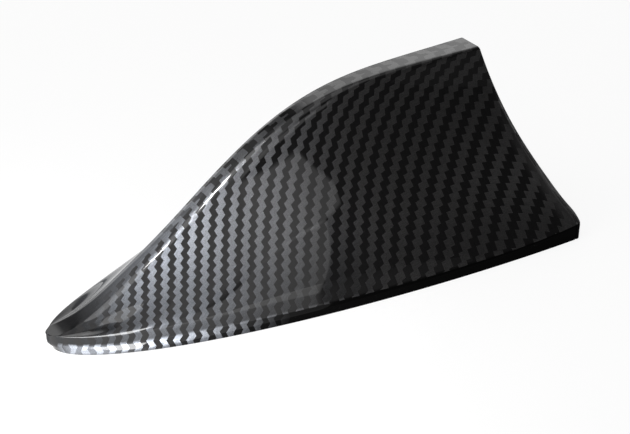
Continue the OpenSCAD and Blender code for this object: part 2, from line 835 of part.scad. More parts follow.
module antenna_tracks() {
    color("#b8743a")
    translate([0, board_t / 2 + track_t, 0])
    rotate([90, 0, 0])
    linear_extrude(track_t) {
        for (i = [0:track_runs - 1])
            translate([track_x0, track_low + i * track_step])
            square([track_x1 - track_x0, track_w]);
        for (i = [0:track_runs - 2])
            translate([i % 2 == 0 ? track_x1 - track_w : track_x0, track_low + i * track_step])
            square([track_w, track_step + track_w]);
    }
}

strip_l = 20;
strip_x = antenna_x1 - 3 - strip_l / 2;
strip_w = 3.6;
strip_t = 0.3;
strip_leg = 3;

module top_strip() {
    inner = board_t + 0.1;
    color("#c8b98a")
    translate([strip_x - strip_l / 2, 0, antenna_top])
    rotate([90, 0, 90])
    linear_extrude(strip_l) {
        translate([-strip_w / 2, 0])
        square([strip_w, strip_t]);
        for (side = [-1, 1])
            translate([side * (inner + strip_t) / 2 - strip_t / 2, -strip_leg])
            square([strip_t, strip_leg + touch]);
    }
}

module solder_joints() {
    color("#c4c7ca")
    for (p = through_pins)
        translate([p.x, p.y, amp_z - joint_h])
        difference() {
            cylinder(h = joint_h, d1 = coil_pin_d + 0.3, d2 = coil_pin_d + 1.1, $fn = 24);
            translate([0, 0, -1])
            cylinder(h = joint_h + 2, d = coil_pin_d + 0.02, $fn = 24);
        }
}

wire_d = 1;
wire_from = [antenna_x0 + 2, 4, amp_top];
wire_to = [antenna_x0 + 5, board_t / 2 + track_t, track_low + 3 * track_step + track_w / 2];

// The insulated wire leaves the amplifier board upright and meets the track square on.
module jumper_wire() {
    steps = 14;
    sides = 8;
    lead = wire_from + [0, 0, 7];
    land = wire_to + [0, 5, 0];
    color("#a02822")
    tube([for (i = [0:steps])
        let (t = i / steps, s = 0.001)
        let (here = bezier(wire_from, lead, land, wire_to, t))
        let (ahead = bezier(wire_from, lead, land, wire_to, min(t + s, 1)))
        let (behind = bezier(wire_from, lead, land, wire_to, max(t - s, 0)))
        let (run = i == 0 ? [0, 0, 1] : i == steps ? [0, -1, 0] : (ahead - behind) / norm(ahead - behind))
        let (across = cross(run, [1, 0, 0]) / norm(cross(run, [1, 0, 0])))
        let (other = cross(run, across))
        [for (k = [0:sides - 1])
            let (b = 360 * k / sides)
            here + wire_d / 2 * (cos(b) * across + sin(b) * other)]]);
}

module foam_block() {
    length = 14;
    height = roof_z(strip_x - length / 2) - antenna_top - strip_t - 0.1;
    color("#3c3d40")
    translate([strip_x - length / 2, -strip_w / 2 + 0.3, antenna_top + strip_t])
    cube([length, strip_w - 0.6, height]);
}

fin_shell();
carrier_ring();
ring_gasket();
adhesive_ring();
ring_screws();
inner_deck();
deck_screws();
lead_grommet();
amplifier_board();
board_screws();
shield_frame();
shield_lid();
amplifier_chip();
chip_capacitors();
chip_resistors();
filter_choke();
choke_winding();
lead_socket();
socket_pins();
coil_former();
coil_winding();
coil_pins();
antenna_board();
antenna_tracks();
top_strip();
solder_joints();
jumper_wire();
foam_block();
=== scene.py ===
"""Shark fin roof aerial: a dense fin moulding and the finishes of every part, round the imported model."""
import json
import math

import bpy
import numpy as np
from mathutils import Matrix, Vector


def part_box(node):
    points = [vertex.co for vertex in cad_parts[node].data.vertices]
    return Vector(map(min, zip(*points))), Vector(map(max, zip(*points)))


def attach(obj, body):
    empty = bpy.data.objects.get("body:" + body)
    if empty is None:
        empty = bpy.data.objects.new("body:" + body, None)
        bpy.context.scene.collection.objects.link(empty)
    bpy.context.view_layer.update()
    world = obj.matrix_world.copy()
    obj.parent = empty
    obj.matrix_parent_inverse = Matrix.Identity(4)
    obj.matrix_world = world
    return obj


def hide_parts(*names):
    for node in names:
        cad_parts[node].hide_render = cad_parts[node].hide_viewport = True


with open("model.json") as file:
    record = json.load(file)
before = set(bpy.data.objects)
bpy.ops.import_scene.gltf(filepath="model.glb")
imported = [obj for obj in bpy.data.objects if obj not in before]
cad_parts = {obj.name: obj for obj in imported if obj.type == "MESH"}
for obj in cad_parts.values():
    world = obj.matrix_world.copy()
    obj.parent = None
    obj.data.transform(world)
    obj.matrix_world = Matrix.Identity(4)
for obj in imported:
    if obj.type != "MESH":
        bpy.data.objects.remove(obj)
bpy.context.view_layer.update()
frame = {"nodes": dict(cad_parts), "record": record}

MM = 0.001
scene = bpy.context.scene

# The fin in millimetres. u is the share of its length from the nose, and an onset a power of u or of 1 - u.
low, high = (np.array(corner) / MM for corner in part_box("fin_shell"))
FIN_LENGTH, FIN_WIDTH, FIN_HEIGHT = high - low
NOSE_X = low[0]
LIP_HEIGHT = 5.6
SPINE_START, SPINE_FILL = 1.92, 6.97
PLAN_TAPER, PLAN_NOSE = 1.67, 1.89
TAIL_RAKE, TAIL_ROUND_LOW, TAIL_ROUND_HIGH = 19.4, 1.7, 1.0
TAIL_OUT, TAIL_SWELL, TAIL_SWELL_AT, TAIL_SWELL_SPREAD = 0.6, 0.8, 8, 2.5
GROOVE_DEPTH, GROOVE_WIDTH = 0.3, 0.7
NOSE_LIFT, NOSE_LIFT_AT, NOSE_LIFT_SPREAD = 1.2, 0.155, 0.08
NOSE_OUT, NOSE_TUCK, NOSE_ONSET = 0.9, 0.9, 12
RIDGE_NOSE, RIDGE_TAIL = 3.0, 4.6
ROUND_NOSE, ROUND_TAIL = 5.9, 0.9
SHOULDER, SHOULDER_ONSET = math.radians(84), 0.31
FLANK_NOSE, FLANK_TAIL, FLANK_ONSET = math.radians(80), math.radians(52.5), 3.95
SHOULDER_PULL, FLANK_PULL = 0.52, 0.31

# The lip: its upper edge's height at the nose and what the flanks and the tail add, how far it stands out,
# its curve's angle, handles and depth, and how far its foot draws in.
LIP_TOP, LIP_TOP_FLANK, LIP_TOP_TAIL = 2.7, 0.8, 2.0
LIP_OUT_NOSE, LIP_OUT_TAIL = 1.25, 0.3
LIP_ANGLE, LIP_PULL = math.radians(61), 0.6
LIP_HOLD_NOSE, LIP_HOLD_TAIL = 0.04, 0.45
LIP_DEEP_NOSE, LIP_DEEP_TAIL = 2.4, 1.1
LIP_TUCK = 0.6

# The inside: walls, the gasket's ledge, where the flanks' formula ends and where the first section lies.
WALL, RIM_WALL, LEDGE_WIDTH = 2.2, 1.6, 1.8
LEDGE_Z = 3.8
SKIRT = RIM_WALL + LEDGE_WIDTH
INNER_LOW = LIP_HEIGHT - 1
INNER_START = 0.0015

# How finely the skin is divided, and the edge angle above which it stays hard.
CREASE = math.radians(35)
ROWS, TAIL_ROWS, INNER_ROWS = 260, 10, 110
FLAT_STEPS, ARC_STEPS, SIDE_STEPS, RUN_STEPS, LIP_STEPS, DRAW_STEPS = 6, 14, 80, 3, 8, 5
INNER_FLAT_STEPS, INNER_ARC_STEPS, INNER_SIDE_STEPS = 2, 4, 30
LIP_COLUMN = FLAT_STEPS + ARC_STEPS + SIDE_STEPS + 2

# The twill's bands along the fin and rows down it: a start, and a factor for each product of the shares x, y
# and z of the length, half width and height. On the tail face, their sizes in mm.
BAND, BAND_X, BAND_Y, BAND_X3, BAND_Z4 = -11.5, 38.8, 5.2, -8.5, -2.6
ROW, ROW_X, ROW_X2, ROW_X3 = 8.05, -18.6, -0.44, -12.7
ROW_Z, ROW_XZ, ROW_Y, ROW_XY = -11.55, 2.25, 13.3, -10.7
TAIL_BAND, TAIL_ROW = 6.5, 3.4

# Share of silver in the print along the fin, at the foot and top of the front flanks, and on the ridge, with
# painted light in it: lowered where the gloss is dim and raised where it is lit.
SILVER_AND_SHEEN_NOSE, SILVER_AND_SHEEN_FRONT, SILVER_AND_SHEEN_MIDDLE, SILVER_AND_SHEEN_REAR = 0.09, 1.03, 0.43, 0.53
SILVER_AND_SHEEN_FOOT, SILVER_AND_SHEEN_TOP = 0.27, 1.15
SILVER_AND_SHEEN_RIDGE_FRONT, SILVER_AND_SHEEN_RIDGE_REAR = 0.5, 0.2
# Painted highlight on the nose's lip: the print there is made full, partly smeared silver.
NOSE_LIP_HIGHLIGHT_SMEAR = 0.6

# Colours: silver at the nose and tail, black threads, and black where the film ends and loses some gloss.
COOL_SILVER, WARM_SILVER = (0.315, 0.335, 0.375), (0.35, 0.342, 0.345)
THREAD_BLACK, BARE_BLACK, BARE_LOSS = (0.006, 0.0058, 0.006), (0.002, 0.002, 0.002), 0.7
TIN, GLOSS_SPREAD, METAL_DRIFT = (0.62, 0.63, 0.64), 0.12, 0.12
ORIGIN = (0.0, 0.0, 0.0)

# Bosses, posts and webs in millimetres: radii, heights and places along the fin. Side bosses also have a
# distance in from the footprint's edge.
BOSS_RADIUS, POST_RADIUS, WEB_HALF, BROKEN_EDGE = 3.2, 3.0, 0.8, 0.35
BOSS_LOW, RING_PILOT, RING_PILOT_TOP = 3.2, 1.22, 9.1
DECK_PILOT, DECK_PILOT_TOP = 1.09, 32.4
DECK_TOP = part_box("inner_deck")[1].z / MM
NOSE_BOSS, SIDE_BOSSES = -60.0, ((-21.0, 8.0), (71.0, 10.8))
POSTS = (-4.5, 56.5)
FRONT_WEB_RUN, REAR_WEB_DEEP = 22, 4

# The floor, and where gloss shows it: left of an edge that leans with Y, and outside an oval round the lip
# that ends at the nose. Farther left it is brighter.
FLOOR_HALF, FLOOR_GLOW, FLOOR_BASE, FLOOR_GREY = 3.0, 0.88, 0.03, 0.12
EDGE_LEAN, EDGE_FADE = 0.188, (-13 * MM, -18 * MM)
OVAL_MIDDLE, OVAL_LONG, OVAL_WIDE, OVAL_FADE = 83 * MM, 176 * MM, 46 * MM, (0.97, 1.06)
NOSE_FADE = (-48 * MM, -64 * MM)
DIMMING = (-70 * MM, -18 * MM, 0.95, 0.62)

# The studio: its dim glow, overhead light with its soft edge in degrees, and panels as left, right, bottom
# and top in degrees, brightness, softness, and the softness of the sides where it differs.
ROOM_GLOW, OVERHEAD, OVERHEAD_EDGE = 0.06, 0.75, (62, 70)
PANELS = ((-125, -9.5, 23.5, 66, 0.95, 1.5, 4.5), (-170, -125, -5, 70, 0.36, 5), (-158, -128, 22, 44, 0.5, 4),
          (132, 176, -5, 70, 0.3, 6), (118, 172, 14, 52, 1.4, 4), (62, 126, 5, 66, 0.45, 6),
          (166, 180, -10, 18, 1.6, 4), (-180, -168, -10, 18, 1.6, 4))

# The soft boxes: turn in degrees, softness of the right, lower and upper edges in mm, brightness at the right
# edge and its reach in mm, and the climb past a crest's end.
BOX_TURN, RIGHT_SOFT, LOW_SOFT, CREST_SOFT = 20, 1.2, 1.0, 0.5
RIGHT_DIM, RIGHT_DIM_REACH, PAST_CREST = 0.72, 50, 1.6

# The camera in degrees and metres, with its focal length in pixels of the image's width.
CAMERA_AZIMUTH, CAMERA_ELEVATION, CAMERA_ROLL = -32.5, 30.9, -0.197
CAMERA_TARGET, CAMERA_DISTANCE = (0.0061, 0, 0.0147), 0.448
FOCAL_PIXELS, IMAGE_WIDTH = 1460, 630


def add_piece(name, points, faces, stands_for, materials, uv=None, patch=None, face_material=None,
              shades=None):
    """A closed piece in millimetres: points as an (n, 3) array, faces as a list of arrays of point numbers.

    uv gives one pair per point, patch a first face, a last face and the pairs that count there instead, and
    shades one number per point under each name."""
    mesh = bpy.data.meshes.new(name)
    mesh.from_pydata((points * MM).tolist(), [], [f for block in faces for f in block.tolist()])
    for material in materials:
        mesh.materials.append(material)
    if face_material is not None:
        mesh.polygons.foreach_set("material_index", np.asarray(face_material, np.int32))
    if uv is not None:
        corner = np.zeros(len(mesh.loops), np.int32)
        mesh.loops.foreach_get("vertex_index", corner)
        pairs = uv[corner]
        if patch is not None:
            first, last, other = patch
            part = slice(mesh.polygons[first].loop_start, mesh.polygons[last + 1].loop_start)
            pairs[part] = other[corner[part]]
        layer = mesh.uv_layers.new(name="weave")
        layer.data.foreach_set("uv", pairs.astype(np.float32).ravel())
    for key, values in (shades or {}).items():
        mesh.attributes.new(key, "FLOAT", "POINT").data.foreach_set("value", values.astype(np.float32))
    mesh.shade_smooth()
    mesh.set_sharp_from_angle(angle=CREASE)
    mesh.update()
    piece = bpy.data.objects.new(name, mesh)
    scene.collection.objects.link(piece)
    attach(piece, "root")
    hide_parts(stands_for)


def grid_faces(rows, cols, first, outward):
    """Quads of a grid whose rows run toward the tail and whose columns run over the ridge to +Y."""
    a = first + np.arange(rows - 1)[:, None] * cols + np.arange(cols - 1)[None]
    quads = np.stack([a, a + cols, a + cols + 1, a + 1], -1).reshape(-1, 4)
    return quads if outward else quads[:, ::-1]


def cap_faces(first, cols, toward_tail):
    """Strips from side to side that close one mirrored row: quads, and one triangle at the ridge."""
    middle = first + cols // 2
    k = np.arange(1, cols // 2)[:, None]
    quads = np.hstack([middle - k - 1, middle - k, middle + k, middle + k + 1])
    tri = np.array([[middle - 1, middle, middle + 1]])
    return [quads[:, ::-1], tri[:, ::-1]] if toward_tail else [quads, tri]


def zip_faces(a, b, share_a, share_b, flip):
    """Triangles between two lines of points, taken in the order of their shares of the way along."""
    at_b = np.searchsorted(share_b[1:], share_a[1:], "left")
    at_a = np.searchsorted(share_a[1:], share_b[1:], "right")
    tris = np.vstack([
        np.stack([a[:-1], a[1:], b[at_b]], 1),
        np.stack([b[1:], b[:-1], a[at_a]], 1)])
    return tris[:, ::-1] if flip else tris


def turned(profile, centre, steps=48):
    """A profile of (radius, height) turned round the Z axis at centre; its two ends lie on that axis.

    The profile runs down the outside and up the inside of a hole, so that the faces point outwards."""
    profile = np.asarray(profile, float)
    turn = np.linspace(0, 2 * np.pi, steps, endpoint=False)
    ring = np.stack([np.cos(turn), np.sin(turn), 0 * turn], -1)
    heights = profile[:, 1:] * np.array([0, 0, 1])
    rings = ring * profile[1:-1, :1, None] + heights[1:-1, None]
    points = np.concatenate([heights[:1], rings.reshape(-1, 3), heights[-1:]])
    around = np.arange(steps)
    after = (around + 1) % steps
    start = 1 + steps * np.arange(len(profile) - 2)
    quads = start[:-1, None, None] + np.stack([around, around + steps, after + steps, after], 1)
    faces = [np.stack([0 * around, 1 + around, 1 + after], 1), quads.reshape(-1, 4),
             np.stack([start[-1] + around, 0 * around + len(points) - 1, start[-1] + after], 1)]
    return points + np.array([*centre, 0.0]), faces


def upright_plate(outline, half):
    """A flat plate in the XZ plane: an outline of (x, z) points, half its thickness to each side of Y = 0."""
    outline = np.asarray(outline, float)
    n = len(outline)
    sides = [np.stack([outline[:, 0], np.full(n, side), outline[:, 1]], 1) for side in (-half, half)]
    a = np.arange(n)
    after = (a + 1) % n
    fan = np.stack([np.zeros(n - 2, int), a[1:-1], a[2:]], 1)
    turning = np.sum(outline[:, 0] * outline[after, 1] - outline[after, 0] * outline[:, 1]) > 0
    faces = [fan, fan[:, ::-1] + n, np.stack([after, a, a + n, after + n], 1)]
    return np.concatenate(sides), faces if turning else [block[:, ::-1] for block in faces]


def gather(parts):
    """Joins (points, faces) pairs into one, moving each part's face numbers past the points before it."""
    points, faces, base = [], [], 0
    for p, blocks in parts:
        points.append(p)
        faces += [block + base for block in blocks]
        base += len(p)
    return np.concatenate(points), faces


def mix(a, b, t):
    """The value at share t of the way from a to b."""
    return a + (b - a) * t


def spine_z(u):
    """Height of the ridge: the lip plus the climb times 1 - (1 - u^start)^fill, with a swell at the nose."""
    swell = NOSE_LIFT * np.exp(-((u - NOSE_LIFT_AT) / NOSE_LIFT_SPREAD)**2) * np.minimum(1, u / 0.03)
    return LIP_HEIGHT + swell + (FIN_HEIGHT - LIP_HEIGHT) * (1 - (1 - u**SPINE_START)**SPINE_FILL)


def plan_share(u):
    """Half width of the footprint as a share: (1 - (1 - u)^taper)^(1 / nose)."""
    return (1 - (1 - u)**PLAN_TAPER)**(1 / PLAN_NOSE)


def lean(u, z):
    """How far a point leans forward: the rake times its share of the height times u cubed."""
    return TAIL_RAKE * np.clip((z - LIP_HEIGHT) / (FIN_HEIGHT - LIP_HEIGHT), 0, None) * u**3


def bezier(a, b, c, d, t):
    """Cubic curve through a and d with the handles b and c."""
    return (1 - t)**3 * a + 3 * (1 - t)**2 * t * b + 3 * (1 - t) * t**2 * c + t**3 * d


def flank_angle(u):
    """Slope at which a flank meets the lip: steep at the nose and flatter toward the tail."""
    return mix(FLANK_NOSE, FLANK_TAIL, u**FLANK_ONSET)


def ridge_half(u, foot):
    """Half width of the ridge's flat with its shoulders, at most 0.6 of the foot's."""
    return np.minimum(mix(RIDGE_NOSE, RIDGE_TAIL, u), 0.6 * foot)


def half_section(u, foot, low_z, high_z, ridge, radius, flat_steps, arc_steps, side_steps):
    """Rows over u, columns from the ridge's middle to the flank's foot, as y and z.

    A flat of the ridge, an arc through the shoulder's angle, and a cubic curve that leaves the arc at that
    angle and lands on the foot at the flank's angle."""
    u, foot, high_z, ridge = (np.asarray(v, float)[:, None] for v in (u, foot, high_z, ridge))
    shoulder = SHOULDER * u**SHOULDER_ONSET
    flank = flank_angle(u)
    drop = np.maximum(high_z - low_z, 0.02)
    r = np.minimum(np.minimum(radius[:, None], 0.85 * ridge / np.tan(shoulder / 2)),
                   0.5 * drop / (1 - np.cos(shoulder)))
    flat = ridge - r * np.tan(shoulder / 2)
    across = flat * np.linspace(0, 1, flat_steps + 1)[None, :-1]
    turn = shoulder * np.linspace(0, 1, arc_steps + 1)[None]
    arc_y, arc_z = flat + r * np.sin(turn), high_z - r + r * np.cos(turn)
    y0, z0 = arc_y[:, -1:], arc_z[:, -1:]
    reach = np.hypot(foot - y0, low_z - z0)
    t = np.linspace(0, 1, side_steps + 1)[None, 1:]
    side_y = bezier(y0, y0 + reach * SHOULDER_PULL * np.cos(shoulder),
                    foot - reach * FLANK_PULL * np.cos(flank), foot, t)
    side_z = bezier(z0, z0 - reach * SHOULDER_PULL * np.sin(shoulder),
                    low_z + reach * FLANK_PULL * np.sin(flank), low_z, t)
    return (np.concatenate([across, arc_y, side_y], 1),
            np.concatenate([0 * across + high_z, arc_z, side_z], 1))


def lip_top(u):
    """Height of the lip's upper edge: lowest round the nose, 3.5 mm along the flanks and most at the tail."""
    return LIP_TOP + LIP_TOP_FLANK * ease(u, 0.06, 0.34) + LIP_TOP_TAIL * u**10


def lip_out(u):
    """How far the lip stands outside the flank's foot, from the nose to the tail by the root of u."""
    return np.minimum(mix(LIP_OUT_NOSE, LIP_OUT_TAIL, np.sqrt(u)), 20 * plan_share(u))


def lip_step(u):
    """The lip's stand-out plus the run of the flank, straight on at its own angle, down to the lip's top."""
    return np.minimum(lip_out(u) + (LIP_HEIGHT - lip_top(u)) / np.tan(flank_angle(u)), 30 * plan_share(u))


def lip_profile(u, foot):
    """From the flank's last point down to the roof, as y and z.

    The flank runs on straight to the lip's top. There a cubic curve leaves it at a flatter angle and ends
    upright, and below that the lip draws in by the tuck times the square of the way down."""
    foot, u = foot[:, None], u[:, None]
    run = np.linspace(0, 1, RUN_STEPS + 1)[None, 1:]
    run_y = foot - mix(lip_step(u), lip_out(u), run)
    run_z = mix(LIP_HEIGHT, lip_top(u), run)
    out, start = lip_out(u), mix(LIP_ANGLE, FLANK_TAIL, u)
    hold = mix(LIP_HOLD_NOSE, LIP_HOLD_TAIL, np.sqrt(u))
    deep = mix(LIP_DEEP_NOSE, LIP_DEEP_TAIL, np.sqrt(u))
    t = np.linspace(0, 1, LIP_STEPS + 1)[None, 1:]
    y = bezier(foot - out, foot - out + LIP_PULL * out * np.cos(start), foot, foot, t)
    z = bezier(lip_top(u), lip_top(u) - LIP_PULL * out * np.sin(start),
               lip_top(u) - (1 - hold) * deep, lip_top(u) - deep, t)
    down = np.linspace(0, 1, DRAW_STEPS + 1)[None, 1:]
    tuck = LIP_TUCK * (1 - u)**3 * np.minimum(1, 3 * plan_share(u))
    return (np.concatenate([run_y, y, foot - tuck * down**2], 1),
            np.concatenate([run_z, z, (lip_top(u) - deep) * (1 - down)], 1))


def end_reach(u, z):
    """How far a point moves toward the tail at the two ends.

    At the nose a tuck at the roof turns to a push outward above it. At the tail the foot stands out, and a
    swell shaped like a bell adds to it above the lip."""
    nose = mix(NOSE_TUCK, -NOSE_OUT, ease(z, 0.0, 3.2)) * (1 - u)**NOSE_ONSET
    swell = TAIL_SWELL * np.exp(-((z - TAIL_SWELL_AT) / TAIL_SWELL_SPREAD)**2)
    return nose + TAIL_OUT * ease(u, 0.93, 1) * (ease(z, 16, 5) + swell)


def mirrored(x, y, z):
    """Rows of a half section, mirrored to -Y and joined at the ridge, as an (rows, cols, 3) array."""
    half = np.stack([np.broadcast_to(x, y.shape), y, z], -1)
    other = half[:, :0:-1] * np.array([1, -1, 1])
    return np.concatenate([other, half], 1)


def outer_surface():
    """Outside of the moulding: sections along the fin, then a quarter turn of them round the tail's edge.

    The sections lie closer toward the nose, by the power 1.7 of their count. The turn's radius goes from a
    large one at the foot to a small one at the ridge, and a fine groove runs down each flank where the turn
    starts."""
    last = 1 - TAIL_ROUND_LOW / FIN_LENGTH
    groove = GROOVE_WIDTH / FIN_LENGTH
    body = np.concatenate([mix(2e-6, last - 1.5 * groove, np.linspace(0, 1, ROWS)**1.7),
                           last + groove * np.array([-1, -0.75, -0.5, -0.25, 0])])
    turn = np.linspace(0, np.pi / 2, TAIL_ROWS + 1)[1:]
    sine = np.concatenate([np.zeros(len(body)), np.sin(turn)])
    cosine = np.concatenate([np.ones(len(body)), np.cos(turn)])
    low = np.concatenate([body, 1 - TAIL_ROUND_LOW * (1 - np.sin(turn)) / FIN_LENGTH])
    inset_low, inset_high = TAIL_ROUND_LOW * (1 - cosine), TAIL_ROUND_HIGH * (1 - cosine)
    foot = FIN_WIDTH / 2 * plan_share(low) - inset_low
    ridge = ridge_half(low, foot + inset_low) - inset_high
    y, z = half_section(low, foot - lip_step(low), LIP_HEIGHT, spine_z(low) - inset_high, ridge,
                        mix(ROUND_NOSE, ROUND_TAIL, low), FLAT_STEPS, ARC_STEPS, SIDE_STEPS)
    lip_y, lip_z = lip_profile(low, foot)
    y, z = np.concatenate([y, lip_y], 1), np.concatenate([z, lip_z], 1)
    height = np.clip((z - LIP_HEIGHT) / (FIN_HEIGHT - LIP_HEIGHT), 0, 1)
    nearer = (TAIL_ROUND_LOW - TAIL_ROUND_HIGH) * height * (1 - sine)[:, None]
    u = low[:, None] + nearer / FIN_LENGTH * ease(low, 0.9, last)[:, None]
    dip = GROOVE_DEPTH * np.clip(1 - np.abs((low - last) / groove + 0.5) * 2, 0, 1)
    y = y - dip[:, None] * ease(z, 50, 40) * ease(y, 0, 5)
    x = NOSE_X + FIN_LENGTH * u - lean(u, z) + end_reach(low[:, None], z)
    return mirrored(x, y, z), low


def spine_slope(u):
    """Climb of the ridge per mm, over a hundredth of the length to each side."""
    return (spine_z(np.minimum(u + 0.01, 1)) - spine_z(np.maximum(u - 0.01, 0))) / (0.02 * FIN_LENGTH)


def inner_surface():
    """Inside of the moulding: sections down to the ledge, out over it to the lip, and down to the roof.

    The sections lie closer toward the nose, by the power 1.8 of their count."""
    share = np.linspace(0, 1, INNER_ROWS)**1.8 * (1 - INNER_START) + INNER_START

    def place(inset):
        return NOSE_X + inset + (FIN_LENGTH - 2 * inset) * (share - INNER_START) / (1 - INNER_START)
    x, x_rabbet = place(SKIRT), place(RIM_WALL)
    u = (x - NOSE_X) / FIN_LENGTH
    foot = (FIN_WIDTH / 2 - SKIRT) * plan_share(share)
    rabbet = (FIN_WIDTH / 2 - RIM_WALL) * plan_share(share)
    slope = spine_slope(u)
    top = np.maximum(spine_z(u) - WALL * np.sqrt(1 + slope**2), INNER_LOW + 0.05)
    ridge = np.maximum(ridge_half(u, foot) - WALL, 0.25 * np.minimum(foot, WALL))
    radius = np.maximum(mix(ROUND_NOSE, ROUND_TAIL, u) - WALL, 0.4)
    y, z = half_section(u, foot, INNER_LOW, top, ridge, radius,
                        INNER_FLAT_STEPS, INNER_ARC_STEPS, INNER_SIDE_STEPS)
    ledge = np.full((len(share), 2), LEDGE_Z)
    y = np.concatenate([y, foot[:, None], rabbet[:, None], rabbet[:, None]], 1)
    z = np.concatenate([z, ledge, 0 * ledge[:, :1]], 1)
    along = np.concatenate([np.repeat(x[:, None], y.shape[1] - 2, 1), np.repeat(x_rabbet[:, None], 2, 1)], 1)
    return mirrored(along - lean(u[:, None], z), y, z), share


def weave_phase(points):
    """Place in the print's weave: bands counted along the fin, and zigzag rows counted down it.

    Both are low polynomials in the shares of the length x, half width y and height z, the same on both
    flanks, so that bands crowd at the nose and spread and tilt toward the tail."""
    x = (points[:, 0] - NOSE_X) / FIN_LENGTH
    y = np.abs(points[:, 1]) / (FIN_WIDTH / 2)
    z = (points[:, 2] - LIP_HEIGHT) / (FIN_HEIGHT - LIP_HEIGHT)
    band = BAND + BAND_X * x + BAND_Y * y + BAND_X3 * x**3 + BAND_Z4 * z**4
    row = (ROW + ROW_X * x + ROW_X2 * x**2 + ROW_X3 * x**3 + ROW_Z * z + ROW_XZ * x * z + ROW_Y * y
           + ROW_XY * x * y)
    return np.stack([band, row], 1)


def tail_phase(points):
    """The same weave laid flat on the tail face: bands counted across it and rows up it."""
    return np.stack([points[:, 1] / TAIL_BAND, points[:, 2] / TAIL_ROW], 1)


def ease(value, start, end):
    """Goes from 0 at start to 1 at end without a kink."""
    t = np.clip((value - start) / (end - start), 0, 1)
    return t * t * (3 - 2 * t)


def print_marks(u, points):
    """How the print lies on the outside, as three numbers per point, eased over shares of the fin's sizes.

    strength is how much silver it holds, with painted light in it: full on the front flanks and the nose's
    lip, less low down, on the nose, the tail and the ridge, so that it stands for where the gloss is lit and
    where it is dim, and full on the nose's lip as a painted highlight. smear is where the film was stretched
    until its threads ran together: on top of the nose, on its far side and lip, and at the tail's lower
    corners. bare is the lip behind the nose, where the film ends."""
    columns = points.shape[1]
    from_ridge = np.abs(np.arange(columns) - columns // 2)[None]
    x, y, z = np.moveaxis(points, -1, 0)
    u = np.broadcast_to(u[:, None], x.shape)
    height = (z - LIP_HEIGHT) / (FIN_HEIGHT - LIP_HEIGHT)
    share = np.abs(y) / np.maximum(np.abs(y[:, :1]), 0.1)
    # Painted light: the silver is dimmed on the nose, low on the flanks, toward the tail and on the ridge,
    # and kept full on the upper front flanks, where their gloss is lit.
    along = (mix(SILVER_AND_SHEEN_NOSE, SILVER_AND_SHEEN_FRONT, ease(u, 0.035, 0.19)) * mix(1, SILVER_AND_SHEEN_MIDDLE, ease(u, 0.2, 0.4))
             * mix(1, SILVER_AND_SHEEN_REAR, ease(u, 0.37, 0.52)))
    on_lip = from_ridge > LIP_COLUMN
    lower = np.where(on_lip, 1.0, mix(SILVER_AND_SHEEN_FOOT, SILVER_AND_SHEEN_TOP, ease(height, 0.0, 0.55)))
    # Painted highlight: the nose's lip is made full silver, partly smeared.
    nose_lip_highlight = on_lip * (1 - ease(u, 0.05, 0.15)) * ease(np.abs(y), 2, 6)
    along = mix(along, 1.0, nose_lip_highlight)
    on_ridge = 1 - ease(from_ridge, FLAT_STEPS, FLAT_STEPS + ARC_STEPS)
    ridge_silver_and_sheen = mix(SILVER_AND_SHEEN_RIDGE_FRONT, SILVER_AND_SHEEN_RIDGE_REAR, ease(u, 0.55, 0.72))
    strength = along * mix(lower, 1, ease(u, 0.45, 0.6)) * (1 - on_ridge * (1 - ridge_silver_and_sheen))
    far = y > 0
    nose = 1 - ease(u, np.where(far, 0.16, 0.04), np.where(far, 0.36, 0.18))
    nose = nose * (1 - ease(share, np.where(far, 0.9, 0.05), np.where(far, 1.3, 0.5)))
    nose = mix(nose, NOSE_LIP_HIGHLIGHT_SMEAR, nose_lip_highlight)
    tail = ease(u, 0.955, 0.985) * (1 - ease(u, 0.985, 0.998)) * (1 - ease(height, 0.35, 0.75))
    bare = ease(from_ridge, LIP_COLUMN, LIP_COLUMN + 2)
    return {"print_strength": strength.ravel(), "print_smear": np.maximum(nose, tail).ravel(),
            "print_bare": (bare * ease(u, 0.17, 0.4)).ravel()}


def feed(node, inputs):
    """Sets a node's inputs to plain values, or links them where the value is another node's socket."""
    for key, value in inputs.items():
        if isinstance(value, bpy.types.NodeSocket):
            node.id_data.links.new(value, node.inputs[key])
        else:
            node.inputs[key].default_value = value


def node_tree(tree):
    """Returns short ways to add a shader node, by the end of its type's name, and to do sums in a tree."""
    def add(kind, inputs=None, **settings):
        node = tree.nodes.new("ShaderNode" + kind)
        for key, value in settings.items():
            setattr(node, key, value)
        feed(node, inputs or {})
        return node

    def calc(operation, *values):
        return add("Math", dict(enumerate(values)), operation=operation).outputs[0]
    return add, calc


def empty_tree(owner):
    """Turns on and clears the nodes of a material, world or light, and returns add and calc for them."""
    owner.use_nodes = True
    owner.node_tree.nodes.clear()
    return node_tree(owner.node_tree)


def remap(add, value, low, high, to_low=0.0, to_high=1.0):
    """Carries a value over from the range low to high to another range, and holds it at the ends."""
    return add("MapRange", {0: value, 1: low, 2: high, 3: to_low, 4: to_high}).outputs[0]


def soft_step(add, value, low, high):
    """Goes from 0 at low to 1 at high without a kink; low may be the larger one."""
    return add("MapRange", {0: value, 1: low, 2: high}, interpolation_type="SMOOTHSTEP").outputs[0]


def product(calc, value, *others):
    """The values multiplied one after another."""
    for other in others:
        value = calc("MULTIPLY", value, other)
    return value


def blend(add, share, a, b):
    """The number a where share is 0 and b where it is 1."""
    return add("Mix", {0: share, 2: a, 3: b}, data_type="FLOAT").outputs[0]


def blend_colour(add, share, a, b, way="MIX"):
    """Colour a where share is 0 and b where it is 1; each may be a plain colour or a socket."""
    a, b = ((*c, 1.0) if isinstance(c, tuple) else c for c in (a, b))
    return add("Mix", {0: share, 6: a, 7: b}, data_type="RGBA", blend_type=way).outputs[2]


def relief(add, strength, depth, height):
    """A bump whose depth is in mm, as a normal."""
    return add("Bump", {"Strength": strength, "Distance": depth * MM, "Height": height}).outputs[0]


